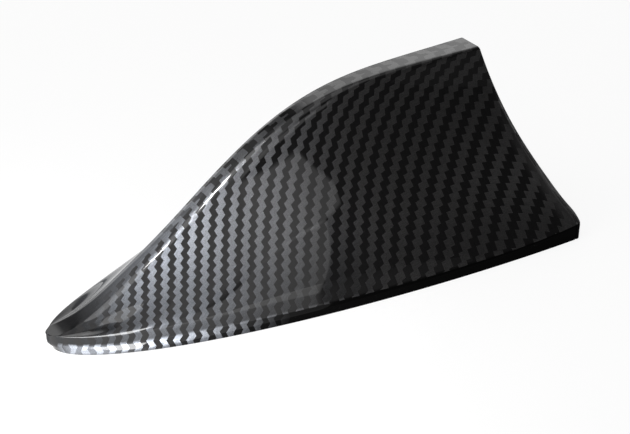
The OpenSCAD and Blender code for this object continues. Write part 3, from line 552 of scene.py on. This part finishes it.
def new_group(name, inputs, outputs):
    """An empty shader node group with named sockets, as (tree, add, calc, given inputs, output node)."""
    tree = bpy.data.node_groups.new(name, "ShaderNodeTree")
    for socket, value in inputs.items():
        kind = "NodeSocketFloat" if isinstance(value, float) else "NodeSocketVector"
        tree.interface.new_socket(socket, in_out="INPUT", socket_type=kind).default_value = value
    for socket in outputs:
        tree.interface.new_socket(socket, in_out="OUTPUT", socket_type="NodeSocketFloat")
    add, calc = node_tree(tree)
    return tree, add, calc, tree.nodes.new("NodeGroupInput").outputs, tree.nodes.new("NodeGroupOutput")


def make_twill_group():
    """2/2 twill from bands and rows: threads p = 2 band + row and q = 2 band - row, light on two of four."""
    tree, add, calc, given, out = new_group("twill_weave", {"Phase": ORIGIN}, ("Light", "Crown", "Thread"))
    split = add("SeparateXYZ", {0: given["Phase"]}).outputs
    double = calc("MULTIPLY", split[0], 2.0)
    p, q = calc("ADD", double, split[1]), calc("SUBTRACT", double, split[1])
    cell = calc("ADD", calc("FLOOR", p), calc("FLOOR", q))
    light = calc("LESS_THAN", calc("FLOORED_MODULO", cell, 4.0), 1.5)
    across = blend(add, light, calc("FRACT", q), calc("FRACT", p))
    along = blend(add, light, p, q)
    centred = calc("SUBTRACT", calc("MULTIPLY", across, 2.0), 1.0)
    strands = add("CombineXYZ", {0: calc("MULTIPLY", across, 9.0), 1: calc("MULTIPLY", along, 0.8)})
    streak = add("TexNoise", {"Vector": strands.outputs[0], "Scale": 1.0, "Detail": 1.0})
    feed(out, {"Light": light, "Crown": calc("SUBTRACT", 1.0, calc("POWER", calc("ABSOLUTE", centred), 2.0)),
               "Thread": streak.outputs[0]})
    return tree


def make_grain_group():
    """Two sizes of noise on the part itself: Tone for slow colour drift, Fine for grain, both about 0.5."""
    tree, add, calc, given, out = new_group(
        "surface_grain", {"Place": ORIGIN, "Drift size": 0.02, "Grain size": 0.0004}, ("Tone", "Fine"))
    for size, socket, detail in (("Drift size", "Tone", 3.0), ("Grain size", "Fine", 2.0)):
        noise = add("TexNoise", {
            "Vector": given["Place"], "Scale": calc("DIVIDE", 1.0, given[size]), "Detail": detail})
        feed(out, {socket: noise.outputs[0]})
    return tree


def make_cells_group():
    """Foam cells: Pore is 0 in the middle of a cell and 1 on its walls; Tone differs from cell to cell."""
    tree, add, calc, given, out = new_group(
        "foam_cells", {"Place": ORIGIN, "Cell size": 0.0006}, ("Pore", "Tone"))
    walls = add("TexVoronoi", {
        "Vector": given["Place"], "Scale": calc("DIVIDE", 1.0, given["Cell size"])}).outputs
    shade = add("SeparateColor", {0: walls["Color"]})
    feed(out, {"Pore": calc("SMOOTH_MIN", calc("MULTIPLY", walls["Distance"], 1.5), 1.0, 0.2),
               "Tone": shade.outputs[0]})
    return tree


def make_rolled_group():
    """Fine lines along one axis, as rolling or drawing leaves on sheet and wire."""
    tree, add, calc, given, out = new_group(
        "rolled_lines", {"Place": ORIGIN, "Stretch": (1.0, 20.0, 20.0), "Line size": 0.002}, ("Line",))
    placed = add("VectorMath", {0: given["Place"], 1: given["Stretch"]}, operation="MULTIPLY")
    noise = add("TexNoise", {
        "Vector": placed.outputs[0], "Scale": calc("DIVIDE", 1.0, given["Line size"]), "Detail": 2.0})
    feed(out, {"Line": noise.outputs[0]})
    return tree


TWILL, GRAIN, CELLS, ROLLED = make_twill_group(), make_grain_group(), make_cells_group(), make_rolled_group()


def grain_marks(add, place, drift, grain=0.4):
    """The grain group's outputs on the part, for sizes in mm."""
    return add("Group", {"Place": place, "Drift size": drift * MM, "Grain size": grain * MM},
               node_tree=GRAIN).outputs


def new_material(name, **constants):
    """A material with one Principled BSDF whose plain values are set on its own sockets."""
    material = bpy.data.materials.new(name)
    add, calc = empty_tree(material)
    shader = add("BsdfPrincipled", {k.replace("_", " "): value for k, value in constants.items()})
    add("OutputMaterial", {0: shader.outputs[0]})
    return material, add, calc, shader, add("TexCoord").outputs["Object"]


def moulded_nodes(name, colour, rough, grain=0.35, bump=0.02, drift=0.25, metal=0.0, **constants):
    """Moulded, cast or plated stock: colour drifts slowly, grain of the given size in mm marks its gloss."""
    material, add, calc, shader, place = new_material(name, Metallic=metal, **constants)
    marks = grain_marks(add, place, 12, grain)
    pale = tuple(min(1.0, c * (1 + drift) + 0.004) for c in colour)
    deep = tuple(c * (1 - drift) for c in colour)
    least, most = max(0.02, rough - GLOSS_SPREAD), min(1.0, rough + GLOSS_SPREAD)
    feed(shader, {"Base Color": blend_colour(add, remap(add, marks["Tone"], 0.35, 0.65), deep, pale),
                  "Roughness": remap(add, marks["Fine"], 0.3, 0.7, least, most),
                  "Normal": relief(add, 0.6, bump, marks["Fine"])})
    return material, add, calc, shader, place


def moulded(*given, **named):
    """The same finish as the material alone."""
    return moulded_nodes(*given, **named)[0]


def foam(name, wall_colour, pore_shade_colour, cell):
    """Foam: pores darkened by painted shade between paler walls, with the cells standing in relief."""
    material, add, calc, shader, place = new_material(name, Roughness=0.9)
    cells = add("Group", {"Place": place, "Cell size": cell * MM}, node_tree=CELLS).outputs
    # Painted shade: the pores take the darker colour.
    base = blend_colour(add, cells["Pore"], pore_shade_colour, wall_colour)
    shade = remap(add, cells["Tone"], 0.0, 1.0, 0.0, 0.25)
    feed(shader, {"Base Color": blend_colour(add, shade, base, pore_shade_colour),
                  "Normal": relief(add, 0.8, 0.25 * cell, cells["Pore"])})
    return material


def drawn_metal(name, colour, rough, stretch, line=2.0, **constants):
    """Rolled, drawn or brushed metal: lines along one axis change its tone and gloss."""
    material, add, calc, shader, place = new_material(name, Metallic=1.0, **constants)
    lines = add("Group", {"Place": place, "Stretch": stretch, "Line size": line * MM},
                node_tree=ROLLED).outputs["Line"]
    share = calc("MULTIPLY", calc("ADD", lines, grain_marks(add, place, 6)["Tone"]), 0.5)
    deep = tuple(c * (1 - METAL_DRIFT) for c in colour)
    pale = tuple(min(1.0, c * (1 + METAL_DRIFT)) for c in colour)
    feed(shader, {"Base Color": blend_colour(add, remap(add, share, 0.35, 0.65), deep, pale),
                  "Roughness": remap(add, lines, 0.3, 0.7, rough * 0.75, rough * 1.3),
                  "Normal": relief(add, 0.4, 0.01, lines)})
    return material


def twill_print():
    """Clear-coated print: silver and black threads, speckled, cool at the nose and warmer at the tail."""
    material, add, calc, shader, place = new_material(
        "fin_twill_gloss", Coat_Weight=1.0, Coat_Roughness=0.02, Coat_IOR=1.5, Specular_IOR_Level=0.0)
    phase = add("UVMap", uv_map="weave").outputs[0]
    weave = add("Group", {"Phase": phase}, node_tree=TWILL).outputs
    marks = grain_marks(add, place, 25, 0.28)
    # print_strength is the silver share with painted light in it: the silver is dimmed where the gloss is dim
    # and kept full where it is lit.
    silver_and_sheen, smear, bare = (add("Attribute", attribute_name="print_" + name).outputs["Fac"]
                         for name in ("strength", "smear", "bare"))
    run_together = remap(add, marks["Tone"], 0.3, 0.7, 0.25, 0.6)
    light = calc("MULTIPLY", blend(add, smear, weave["Light"], run_together), calc("SUBTRACT", 1.0, bare))
    fleck = remap(add, marks["Fine"], 0.3, 0.7, 0.72, 1.28)
    streak = remap(add, weave["Thread"], 0.3, 0.7, 0.85, 1.12)
    toward_tail = remap(add, add("SeparateXYZ", {0: place}).outputs[0], -45 * MM, 15 * MM)
    hue = blend_colour(add, toward_tail, COOL_SILVER, WARM_SILVER)
    silver = blend_colour(add, 1.0, hue, product(calc, fleck, streak, silver_and_sheen), "MULTIPLY")
    black = blend_colour(add, bare, THREAD_BLACK, BARE_BLACK)
    feed(shader, {"Base Color": blend_colour(add, light, black, silver),
                  "Coat Weight": calc("SUBTRACT", 1.0, calc("MULTIPLY", bare, BARE_LOSS)),
                  "Metallic": calc("MULTIPLY", light, 0.92),
                  "Roughness": remap(add, light, 0.0, 1.0, 0.6, 0.45),
                  "Normal": relief(add, 0.35, 0.06, weave["Crown"])})
    return material


def recolour(add, shader, share, colour):
    """Lays a colour over the shader's own where share is 1."""
    old = shader.inputs["Base Color"].links[0].from_socket
    feed(shader, {"Base Color": blend_colour(add, share, old, colour)})


def lacquered_board():
    """Green board: tracks show as paler bands under the lacquer, in two wavy sets that cross."""
    material, add, calc, shader, place = moulded_nodes(
        "board_green_lacquer", (0.03, 0.16, 0.07), 0.32, grain=0.5, bump=0.006, drift=0.15, Coat_Weight=0.4,
        Coat_Roughness=0.12)
    waves = [add("TexWave", {"Vector": place, "Scale": 190.0, "Distortion": 6.0, "Detail": 1.0},
                 bands_direction=axis).outputs["Fac"] for axis in ("X", "Y")]
    track = calc("GREATER_THAN", calc("MAXIMUM", *waves), 0.93)
    recolour(add, shader, calc("MULTIPLY", track, 0.7), (0.07, 0.29, 0.12))
    return material


def two_tone(name, body, rows, reach, axis=0):
    """Chip parts in rows: the body's colour, tinned within reach of each row's two edges along an axis.

    rows lists the middle and half length of each row along that axis, and reach is a distance, all in mm."""
    material, add, calc, shader, place = moulded_nodes(name, body, 0.5, grain=0.2, bump=0.01)
    along = add("SeparateXYZ", {0: place}).outputs[axis]
    tinned = 0.0
    for middle, half in rows:
        edge = calc("SUBTRACT", calc("ABSOLUTE", calc("SUBTRACT", along, middle * MM)), half * MM)
        near = calc("LESS_THAN", calc("ABSOLUTE", edge), reach * MM)
        tinned = calc("MAXIMUM", tinned, near)
    recolour(add, shader, tinned, TIN)
    feed(shader, {"Metallic": calc("MULTIPLY", tinned, 0.95)})
    return material


def row_places(node, lengths):
    """Middles of the first and last rows of a chip node along the board, with their half lengths, in mm."""
    a, b = (corner.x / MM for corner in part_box(node))
    return [(a + lengths[0] / 2, lengths[0] / 2), (b - lengths[1] / 2, lengths[1] / 2)]


def across_board(node):
    """Middle and half width of a node across the board, in mm."""
    a, b = (corner.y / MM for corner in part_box(node))
    return [((a + b) / 2, (b - a) / 2)]


twill = twill_print()
inside = moulded("fin_inside_black", (0.028, 0.029, 0.031), 0.48, grain=0.5, bump=0.03)
finishes = {
    "ring_plastic": moulded("ring_black_plastic", (0.035, 0.036, 0.038), 0.5, grain=0.45, bump=0.05),
    "deck_plastic": moulded("deck_black_plastic", (0.045, 0.047, 0.05), 0.42, grain=0.6),
    "seal_rubber": moulded("seal_black_rubber", (0.02, 0.02, 0.021), 0.72, grain=0.3, bump=0.04),
    "pale_foam": foam("adhesive_pale_foam", (0.74, 0.74, 0.71), (0.5, 0.5, 0.47), 0.45),
    "dark_foam": foam("ridge_dark_foam", (0.075, 0.075, 0.08), (0.012, 0.012, 0.014), 0.9),
    "screw_steel": drawn_metal("screw_zinc_plate", (0.56, 0.58, 0.6), 0.3, (14, 14, 3), 1.2),
    "tinned_steel": drawn_metal("shield_tinned_sheet", (0.7, 0.71, 0.72), 0.28, (1, 22, 22), 3.0),
    "board_green": lacquered_board(),
    "ferrite_grey": moulded("choke_ferrite", (0.07, 0.07, 0.08), 0.55, grain=0.15, bump=0.03),
    "copper_wire": drawn_metal("winding_enamelled_copper", (0.62, 0.26, 0.1), 0.22, (6, 6, 30), 1.0,
                               Coat_Weight=0.7, Coat_Roughness=0.08),
    "copper_track": drawn_metal("antenna_copper_track", (0.68, 0.33, 0.16), 0.3, (2, 20, 20), 1.5),
    "socket_ivory": moulded("socket_ivory_nylon", (0.78, 0.74, 0.62), 0.4, grain=0.4, bump=0.01, drift=0.05),
    "former_ivory": moulded("former_ivory_plastic", (0.8, 0.76, 0.66), 0.38, grain=0.4, bump=0.01,
                            drift=0.05),
    "pin_brass": drawn_metal("pin_drawn_brass", (0.72, 0.55, 0.22), 0.26, (25, 25, 2), 1.0),
    "strip_brass": drawn_metal("strip_rolled_brass", (0.7, 0.6, 0.36), 0.25, (1, 22, 22), 2.0),
    "solder_tin": moulded("solder_bright_tin", (0.66, 0.67, 0.68), 0.25, grain=0.25, drift=0.1, metal=1.0),
    "wire_red": moulded("wire_red_insulation", (0.42, 0.03, 0.02), 0.35, grain=0.3, bump=0.01),
}
node_finishes = {
    "amplifier_chip": two_tone("chip_black_epoxy", (0.025, 0.025, 0.028),
                               across_board("amplifier_chip"), 0.88, axis=1),
    "chip_capacitors": two_tone("capacitor_tan_ceramic", (0.42, 0.3, 0.17),
                                row_places("chip_capacitors", (1.6, 2.0)), 0.32),
    "chip_resistors": two_tone("resistor_black_glaze", (0.02, 0.02, 0.022),
                               row_places("chip_resistors", (1.6, 1.6)), 0.32),
}

node_slot = {part["node"]: part["material_slot"] for part in frame["record"]["subparts"]}
for node, piece in frame["nodes"].items():
    if node == "fin_shell":
        continue
    material = node_finishes.get(node) or finishes[node_slot[node]]
    if not piece.material_slots:
        piece.data.materials.append(material)
    for place in piece.material_slots:
        place.material = material

# The fin moulding's skin.

outer, outer_share = outer_surface()
inner, inner_share = inner_surface()
rows_out, cols_out = outer.shape[:2]
rows_in, cols_in = inner.shape[:2]
base_in = rows_out * cols_out
skin_points = np.concatenate([outer.reshape(-1, 3), inner.reshape(-1, 3)])
row_starts = np.arange(rows_out) * cols_out
inner_starts = base_in + np.arange(rows_in) * cols_in
row_ends, inner_ends = row_starts + cols_out - 1, inner_starts + cols_in - 1
outside_faces = [grid_faces(rows_out, cols_out, 0, True),
                 *cap_faces(0, cols_out, False),
                 *cap_faces((rows_out - 1) * cols_out, cols_out, True)]
inside_faces = [grid_faces(rows_in, cols_in, base_in, False),
                *cap_faces(base_in, cols_in, True),
                *cap_faces(base_in + (rows_in - 1) * cols_in, cols_in, False),
                zip_faces(row_starts, inner_starts, outer_share, inner_share, True),
                zip_faces(row_ends, inner_ends, outer_share, inner_share, False),
                np.array([[row_starts[0], row_ends[0], inner_ends[0], inner_starts[0]],
                          [row_starts[-1], inner_starts[-1], inner_ends[-1], row_ends[-1]]])]
before_tail, *by_side = [sum(map(len, blocks)) for blocks in (outside_faces[:3], outside_faces, inside_faces)]
marks = {name: np.concatenate([values, np.zeros(rows_in * cols_in)])
         for name, values in print_marks(outer_share, outer).items()}
add_piece("fin_moulding", skin_points, outside_faces + inside_faces, "fin_shell",
          [twill, inside], uv=weave_phase(skin_points),
          patch=(before_tail, by_side[0] - 1, tail_phase(skin_points)),
          face_material=np.repeat([0, 1], by_side), shades=marks)


def roof_over(x, y):
    """Height of the outside over a point of the plan, from the nearest point of the skin above the lip."""
    grid = outer.reshape(-1, 3)
    away = np.hypot(grid[:, 0] - x, grid[:, 1] - y) + 99.0 * (grid[:, 2] < LIP_HEIGHT)
    return grid[np.argmin(away), 2]


def ridge_inside(x):
    """Height of the inside of the ridge over a place along the fin."""
    crest = outer[:, cols_out // 2]
    u = np.interp(x, crest[:, 0], outer_share)
    return spine_z(u) - WALL * np.sqrt(1 + spine_slope(u)**2)


def hollow_post(place, radius, pilot, low_z, pilot_top, top):
    """A round post with a broken lower edge and a pilot hole up its middle."""
    edge = BROKEN_EDGE
    return turned([(0, top), (radius, top), (radius, low_z + edge), (radius - edge, low_z),
                   (pilot + edge, low_z), (pilot, low_z + edge), (pilot, pilot_top),
                   (0, pilot_top + 0.6 * pilot)], place)


def boss_at(x, y):
    """A ring screw's boss, whose top ends inside the skin."""
    reach = abs(y) + BOSS_RADIUS
    top = min(roof_over(x - BOSS_RADIUS, reach), roof_over(x, reach)) - 0.45 * WALL
    return hollow_post((x, y), BOSS_RADIUS, RING_PILOT, BOSS_LOW, RING_PILOT_TOP, top)


bosses = [boss_at(NOSE_BOSS, 0.0)]
for x, inset in SIDE_BOSSES:
    half = FIN_WIDTH / 2 * plan_share((x - NOSE_X) / FIN_LENGTH)
    bosses += [boss_at(x, side * (half - inset)) for side in (-1, 1)]
post_tops = [min(ridge_inside(x - POST_RADIUS), ridge_inside(x + POST_RADIUS)) + 0.5 * WALL for x in POSTS]
posts = [hollow_post((x, 0.0), POST_RADIUS, DECK_PILOT, DECK_TOP, DECK_PILOT_TOP, top)
         for x, top in zip(POSTS, post_tops)]
front_x, rear_x = POSTS
front_web = [(front_x, mix(DECK_TOP, post_tops[0], 0.35))]
front_web += [(x, ridge_inside(x) + 0.5 * WALL) for x in np.linspace(front_x - FRONT_WEB_RUN, front_x, 12)]
rear_high = post_tops[1] - 0.5 * WALL
tail_x = NOSE_X + FIN_LENGTH - SKIRT - lean(1.0, rear_high) + 0.5 * WALL
rear_web = [(rear_x, mix(DECK_TOP, post_tops[1], 0.4)), (tail_x, rear_high - REAR_WEB_DEEP),
            (tail_x, rear_high), (rear_x, rear_high)]
webs = [upright_plate(outline, WEB_HALF) for outline in (front_web, rear_web)]
stand_points, stand_faces = gather(bosses + posts + webs)
add_piece("fin_posts", stand_points, stand_faces, "fin_shell", [inside])


def make_floor():
    """A pale floor level with the roof, seen as white, that still takes the fin's shadow.

    In gloss it shows as white paper round the nose and to the left of the fin, and is dim elsewhere."""
    mesh = bpy.data.meshes.new("studio_floor")
    half = FLOOR_HALF
    corners = [(-half, -half, 0), (half, -half, 0), (half, half, 0), (-half, half, 0)]
    mesh.from_pydata(corners, [], [(0, 1, 2, 3)])
    floor = bpy.data.objects.new("studio_floor", mesh)
    scene.collection.objects.link(floor)
    material = bpy.data.materials.new("floor_pale_paper")
    add, calc = empty_tree(material)
    x, y, _ = add("SeparateXYZ", {0: add("TexCoord").outputs["Object"]}).outputs
    edge = calc("MULTIPLY_ADD", y, EDGE_LEAN, x)
    oval = add("VectorMath", {0: add("CombineXYZ", {
        0: calc("DIVIDE", calc("SUBTRACT", x, OVAL_MIDDLE), OVAL_LONG),
        1: calc("DIVIDE", y, OVAL_WIDE)}).outputs[0]}, operation="LENGTH").outputs["Value"]
    clear = calc("MAXIMUM", soft_step(add, oval, *OVAL_FADE), soft_step(add, x, *NOSE_FADE))
    paper = calc("MULTIPLY", soft_step(add, edge, *EDGE_FADE), clear)
    seen = calc("MULTIPLY_ADD", paper, remap(add, edge, *DIMMING), FLOOR_BASE)
    ray = add("LightPath").outputs
    mirror = calc("MULTIPLY", calc("ADD", ray["Is Glossy Ray"], ray["Is Transmission Ray"]), seen)
    strength = calc("MULTIPLY", calc("ADD", ray["Is Camera Ray"], mirror), FLOOR_GLOW)
    both = add("AddShader", {
        0: add("Emission", {"Strength": strength}).outputs[0],
        1: add("BsdfDiffuse", {"Color": (FLOOR_GREY, FLOOR_GREY, FLOOR_GREY, 1.0)}).outputs[0]})
    add("OutputMaterial", {0: both.outputs[0]})
    mesh.materials.append(material)


def make_world():
    """White to the camera; to everything else a studio with soft panels round a dim right-hand front."""
    world = bpy.data.worlds.new("studio")
    scene.world = world
    add, calc = empty_tree(world)
    x, y, z = add("SeparateXYZ", {0: add("TexCoord").outputs["Generated"]}).outputs
    azimuth = calc("DEGREES", calc("ARCTAN2", x, calc("MULTIPLY", y, -1.0)))
    elevation = calc("DEGREES", calc("ARCSINE", z))
    total = calc("MULTIPLY_ADD", soft_step(add, elevation, *OVERHEAD_EDGE), OVERHEAD, ROOM_GLOW)
    for left, right, bottom, top, strength, soft, *other in PANELS:
        side = other[0] if other else soft
        edges = (soft_step(add, azimuth, left - side, left + side),
                 soft_step(add, azimuth, right + side, right - side),
                 soft_step(add, elevation, bottom - soft, bottom + soft),
                 soft_step(add, elevation, top + soft, top - soft))
        total = calc("ADD", total, product(calc, strength, *edges))
    camera = add("LightPath").outputs["Is Camera Ray"]
    strength = calc("MULTIPLY_ADD", total, calc("SUBTRACT", 1.0, camera), camera)
    add("OutputWorld", {0: add("Background", {"Strength": strength}).outputs[0]})


def direction(azimuth, elevation):
    """A unit vector from degrees: azimuth goes from -Y toward +X, and elevation up from the roof."""
    az, el = math.radians(azimuth), math.radians(elevation)
    return Vector((math.sin(az) * math.cos(el), -math.cos(az) * math.cos(el), math.sin(el)))


def hang_light(name, size, radiance, place, way):
    """A rectangular light at a place, turned against the given way; radiance is what a mirror shows of it."""
    data = bpy.data.lights.new(name, "AREA")
    data.shape = "RECTANGLE"
    data.size, data.size_y = size
    data.energy = radiance * math.pi * size[0] * size[1]
    light = bpy.data.objects.new(name, data)
    light.location = place
    light.rotation_euler = way.to_track_quat("Z", "Y").to_euler()
    light.visible_camera = False
    scene.collection.objects.link(light)
    return data


def soft_box(name, distance, left, right, low, high, radiance, fade, lean_in=0.0, rise=0.0, bend=0.0,
             crest=None):
    """A soft box near the fin's left flank, upright and square to a direction right of it.

    All in mm: left and right are measured along the box, low and high above the roof. The right edge leans in
    toward the bottom, the left one fades out, and left of the bend the lower edge rises. A crest is the upper
    edge's height at the right end, its climb per mm to the left, and the place and height of its end."""
    away, along = direction(BOX_TURN, 0), direction(BOX_TURN + 90, 0)
    middle = away * distance + along * (left + right) / 2 + Vector((0, 0, (low + high) / 2))
    data = hang_light(name, ((right - left) * MM, (high - low) * MM), radiance, middle * MM, away)
    add, calc = empty_tree(data)
    spot = add("NewGeometry").outputs["Position"]
    place = add("VectorMath", {0: spot, 1: along}, operation="DOT_PRODUCT").outputs["Value"]
    height = add("SeparateXYZ", {0: spot}).outputs[2]
    from_right = calc("SUBTRACT", right * MM, place)
    from_edge = calc("SUBTRACT", from_right, calc("MULTIPLY", calc("SUBTRACT", high * MM, height), lean_in))
    past_bend = calc("MAXIMUM", calc("SUBTRACT", bend * MM, place), 0.0)
    over = calc("SUBTRACT", height, calc("MULTIPLY_ADD", past_bend, rise, low * MM))
    parts = [soft_step(add, from_edge, 0.0, RIGHT_SOFT * MM), soft_step(add, over, 0.0, LOW_SOFT * MM),
             remap(add, from_edge, 0.0, RIGHT_DIM_REACH * MM, RIGHT_DIM, 1.0),
             soft_step(add, place, left * MM, (left + fade) * MM)]
    if crest:
        start, climb, end_place, end_height = crest
        climbing = calc("MULTIPLY_ADD", from_right, climb, start * MM)
        before_end = calc("MAXIMUM", calc("SUBTRACT", place, end_place * MM), 0.0)
        ending = calc("MULTIPLY_ADD", before_end, PAST_CREST, end_height * MM)
        under = calc("SUBTRACT", calc("MINIMUM", climbing, ending), height)
        parts.append(soft_step(add, under, -CREST_SOFT * MM, CREST_SOFT * MM))
    glow = add("Emission", {"Strength": product(calc, *parts)})
    add("OutputLight", {0: glow.outputs[0]})


def area_light(name, azimuth, elevation, distance, size, radiance, target=(0.0, 0.0, 0.02), beam=180):
    """A soft panel in the given direction from the target, turned to it.

    beam is the full angle in degrees that a grid before the panel lets through."""
    way = direction(azimuth, elevation)
    through = radiance * math.sin(math.radians(beam / 2))**2
    hang_light(name, size, through, Vector(target) + distance * way, way).spread = math.radians(beam)


def make_camera():
    """Looks at the fin from its left front and from above, with the photograph's framing."""
    back, right = direction(CAMERA_AZIMUTH, CAMERA_ELEVATION), direction(CAMERA_AZIMUTH + 90, 0)
    up, roll = back.cross(right), math.radians(CAMERA_ROLL)
    turned_right = math.cos(roll) * right + math.sin(roll) * up
    turned_up = math.cos(roll) * up - math.sin(roll) * right
    data = bpy.data.cameras.new("photo_camera")
    data.sensor_width = 36
    data.lens = FOCAL_PIXELS / IMAGE_WIDTH * data.sensor_width
    data.clip_start = 0.01
    camera = bpy.data.objects.new("photo_camera", data)
    spin = Matrix((turned_right, turned_up, back)).transposed().to_4x4()
    camera.matrix_world = Matrix.Translation(Vector(CAMERA_TARGET) + CAMERA_DISTANCE * back) @ spin
    scene.collection.objects.link(camera)
    scene.camera = camera


make_floor()
make_world()
area_light("key_panel", azimuth=-110, elevation=53.5, distance=0.3, size=(0.03, 0.036), radiance=80,
           target=(-0.03, -0.003, 0.0345), beam=8)
area_light("key_fill", azimuth=-110, elevation=52, distance=1.0, size=(0.6, 0.6), radiance=2.0)
area_light("nose_card", azimuth=-70, elevation=22, distance=0.055, size=(0.18, 0.048), radiance=14,
           target=(-0.074, -0.005, 0.003))
soft_box("high_box", distance=100, left=-95, right=1.5, low=76.4, high=140, radiance=0.95, fade=25,
         rise=0.256, bend=-22.5)
soft_box("low_box", distance=60, left=-135, right=-8.1, low=0.5, high=60, radiance=0.95, fade=30,
         lean_in=0.27, crest=(51.9, 0.14, -70, 38))
make_camera()
scene.view_settings.view_transform = "Standard"
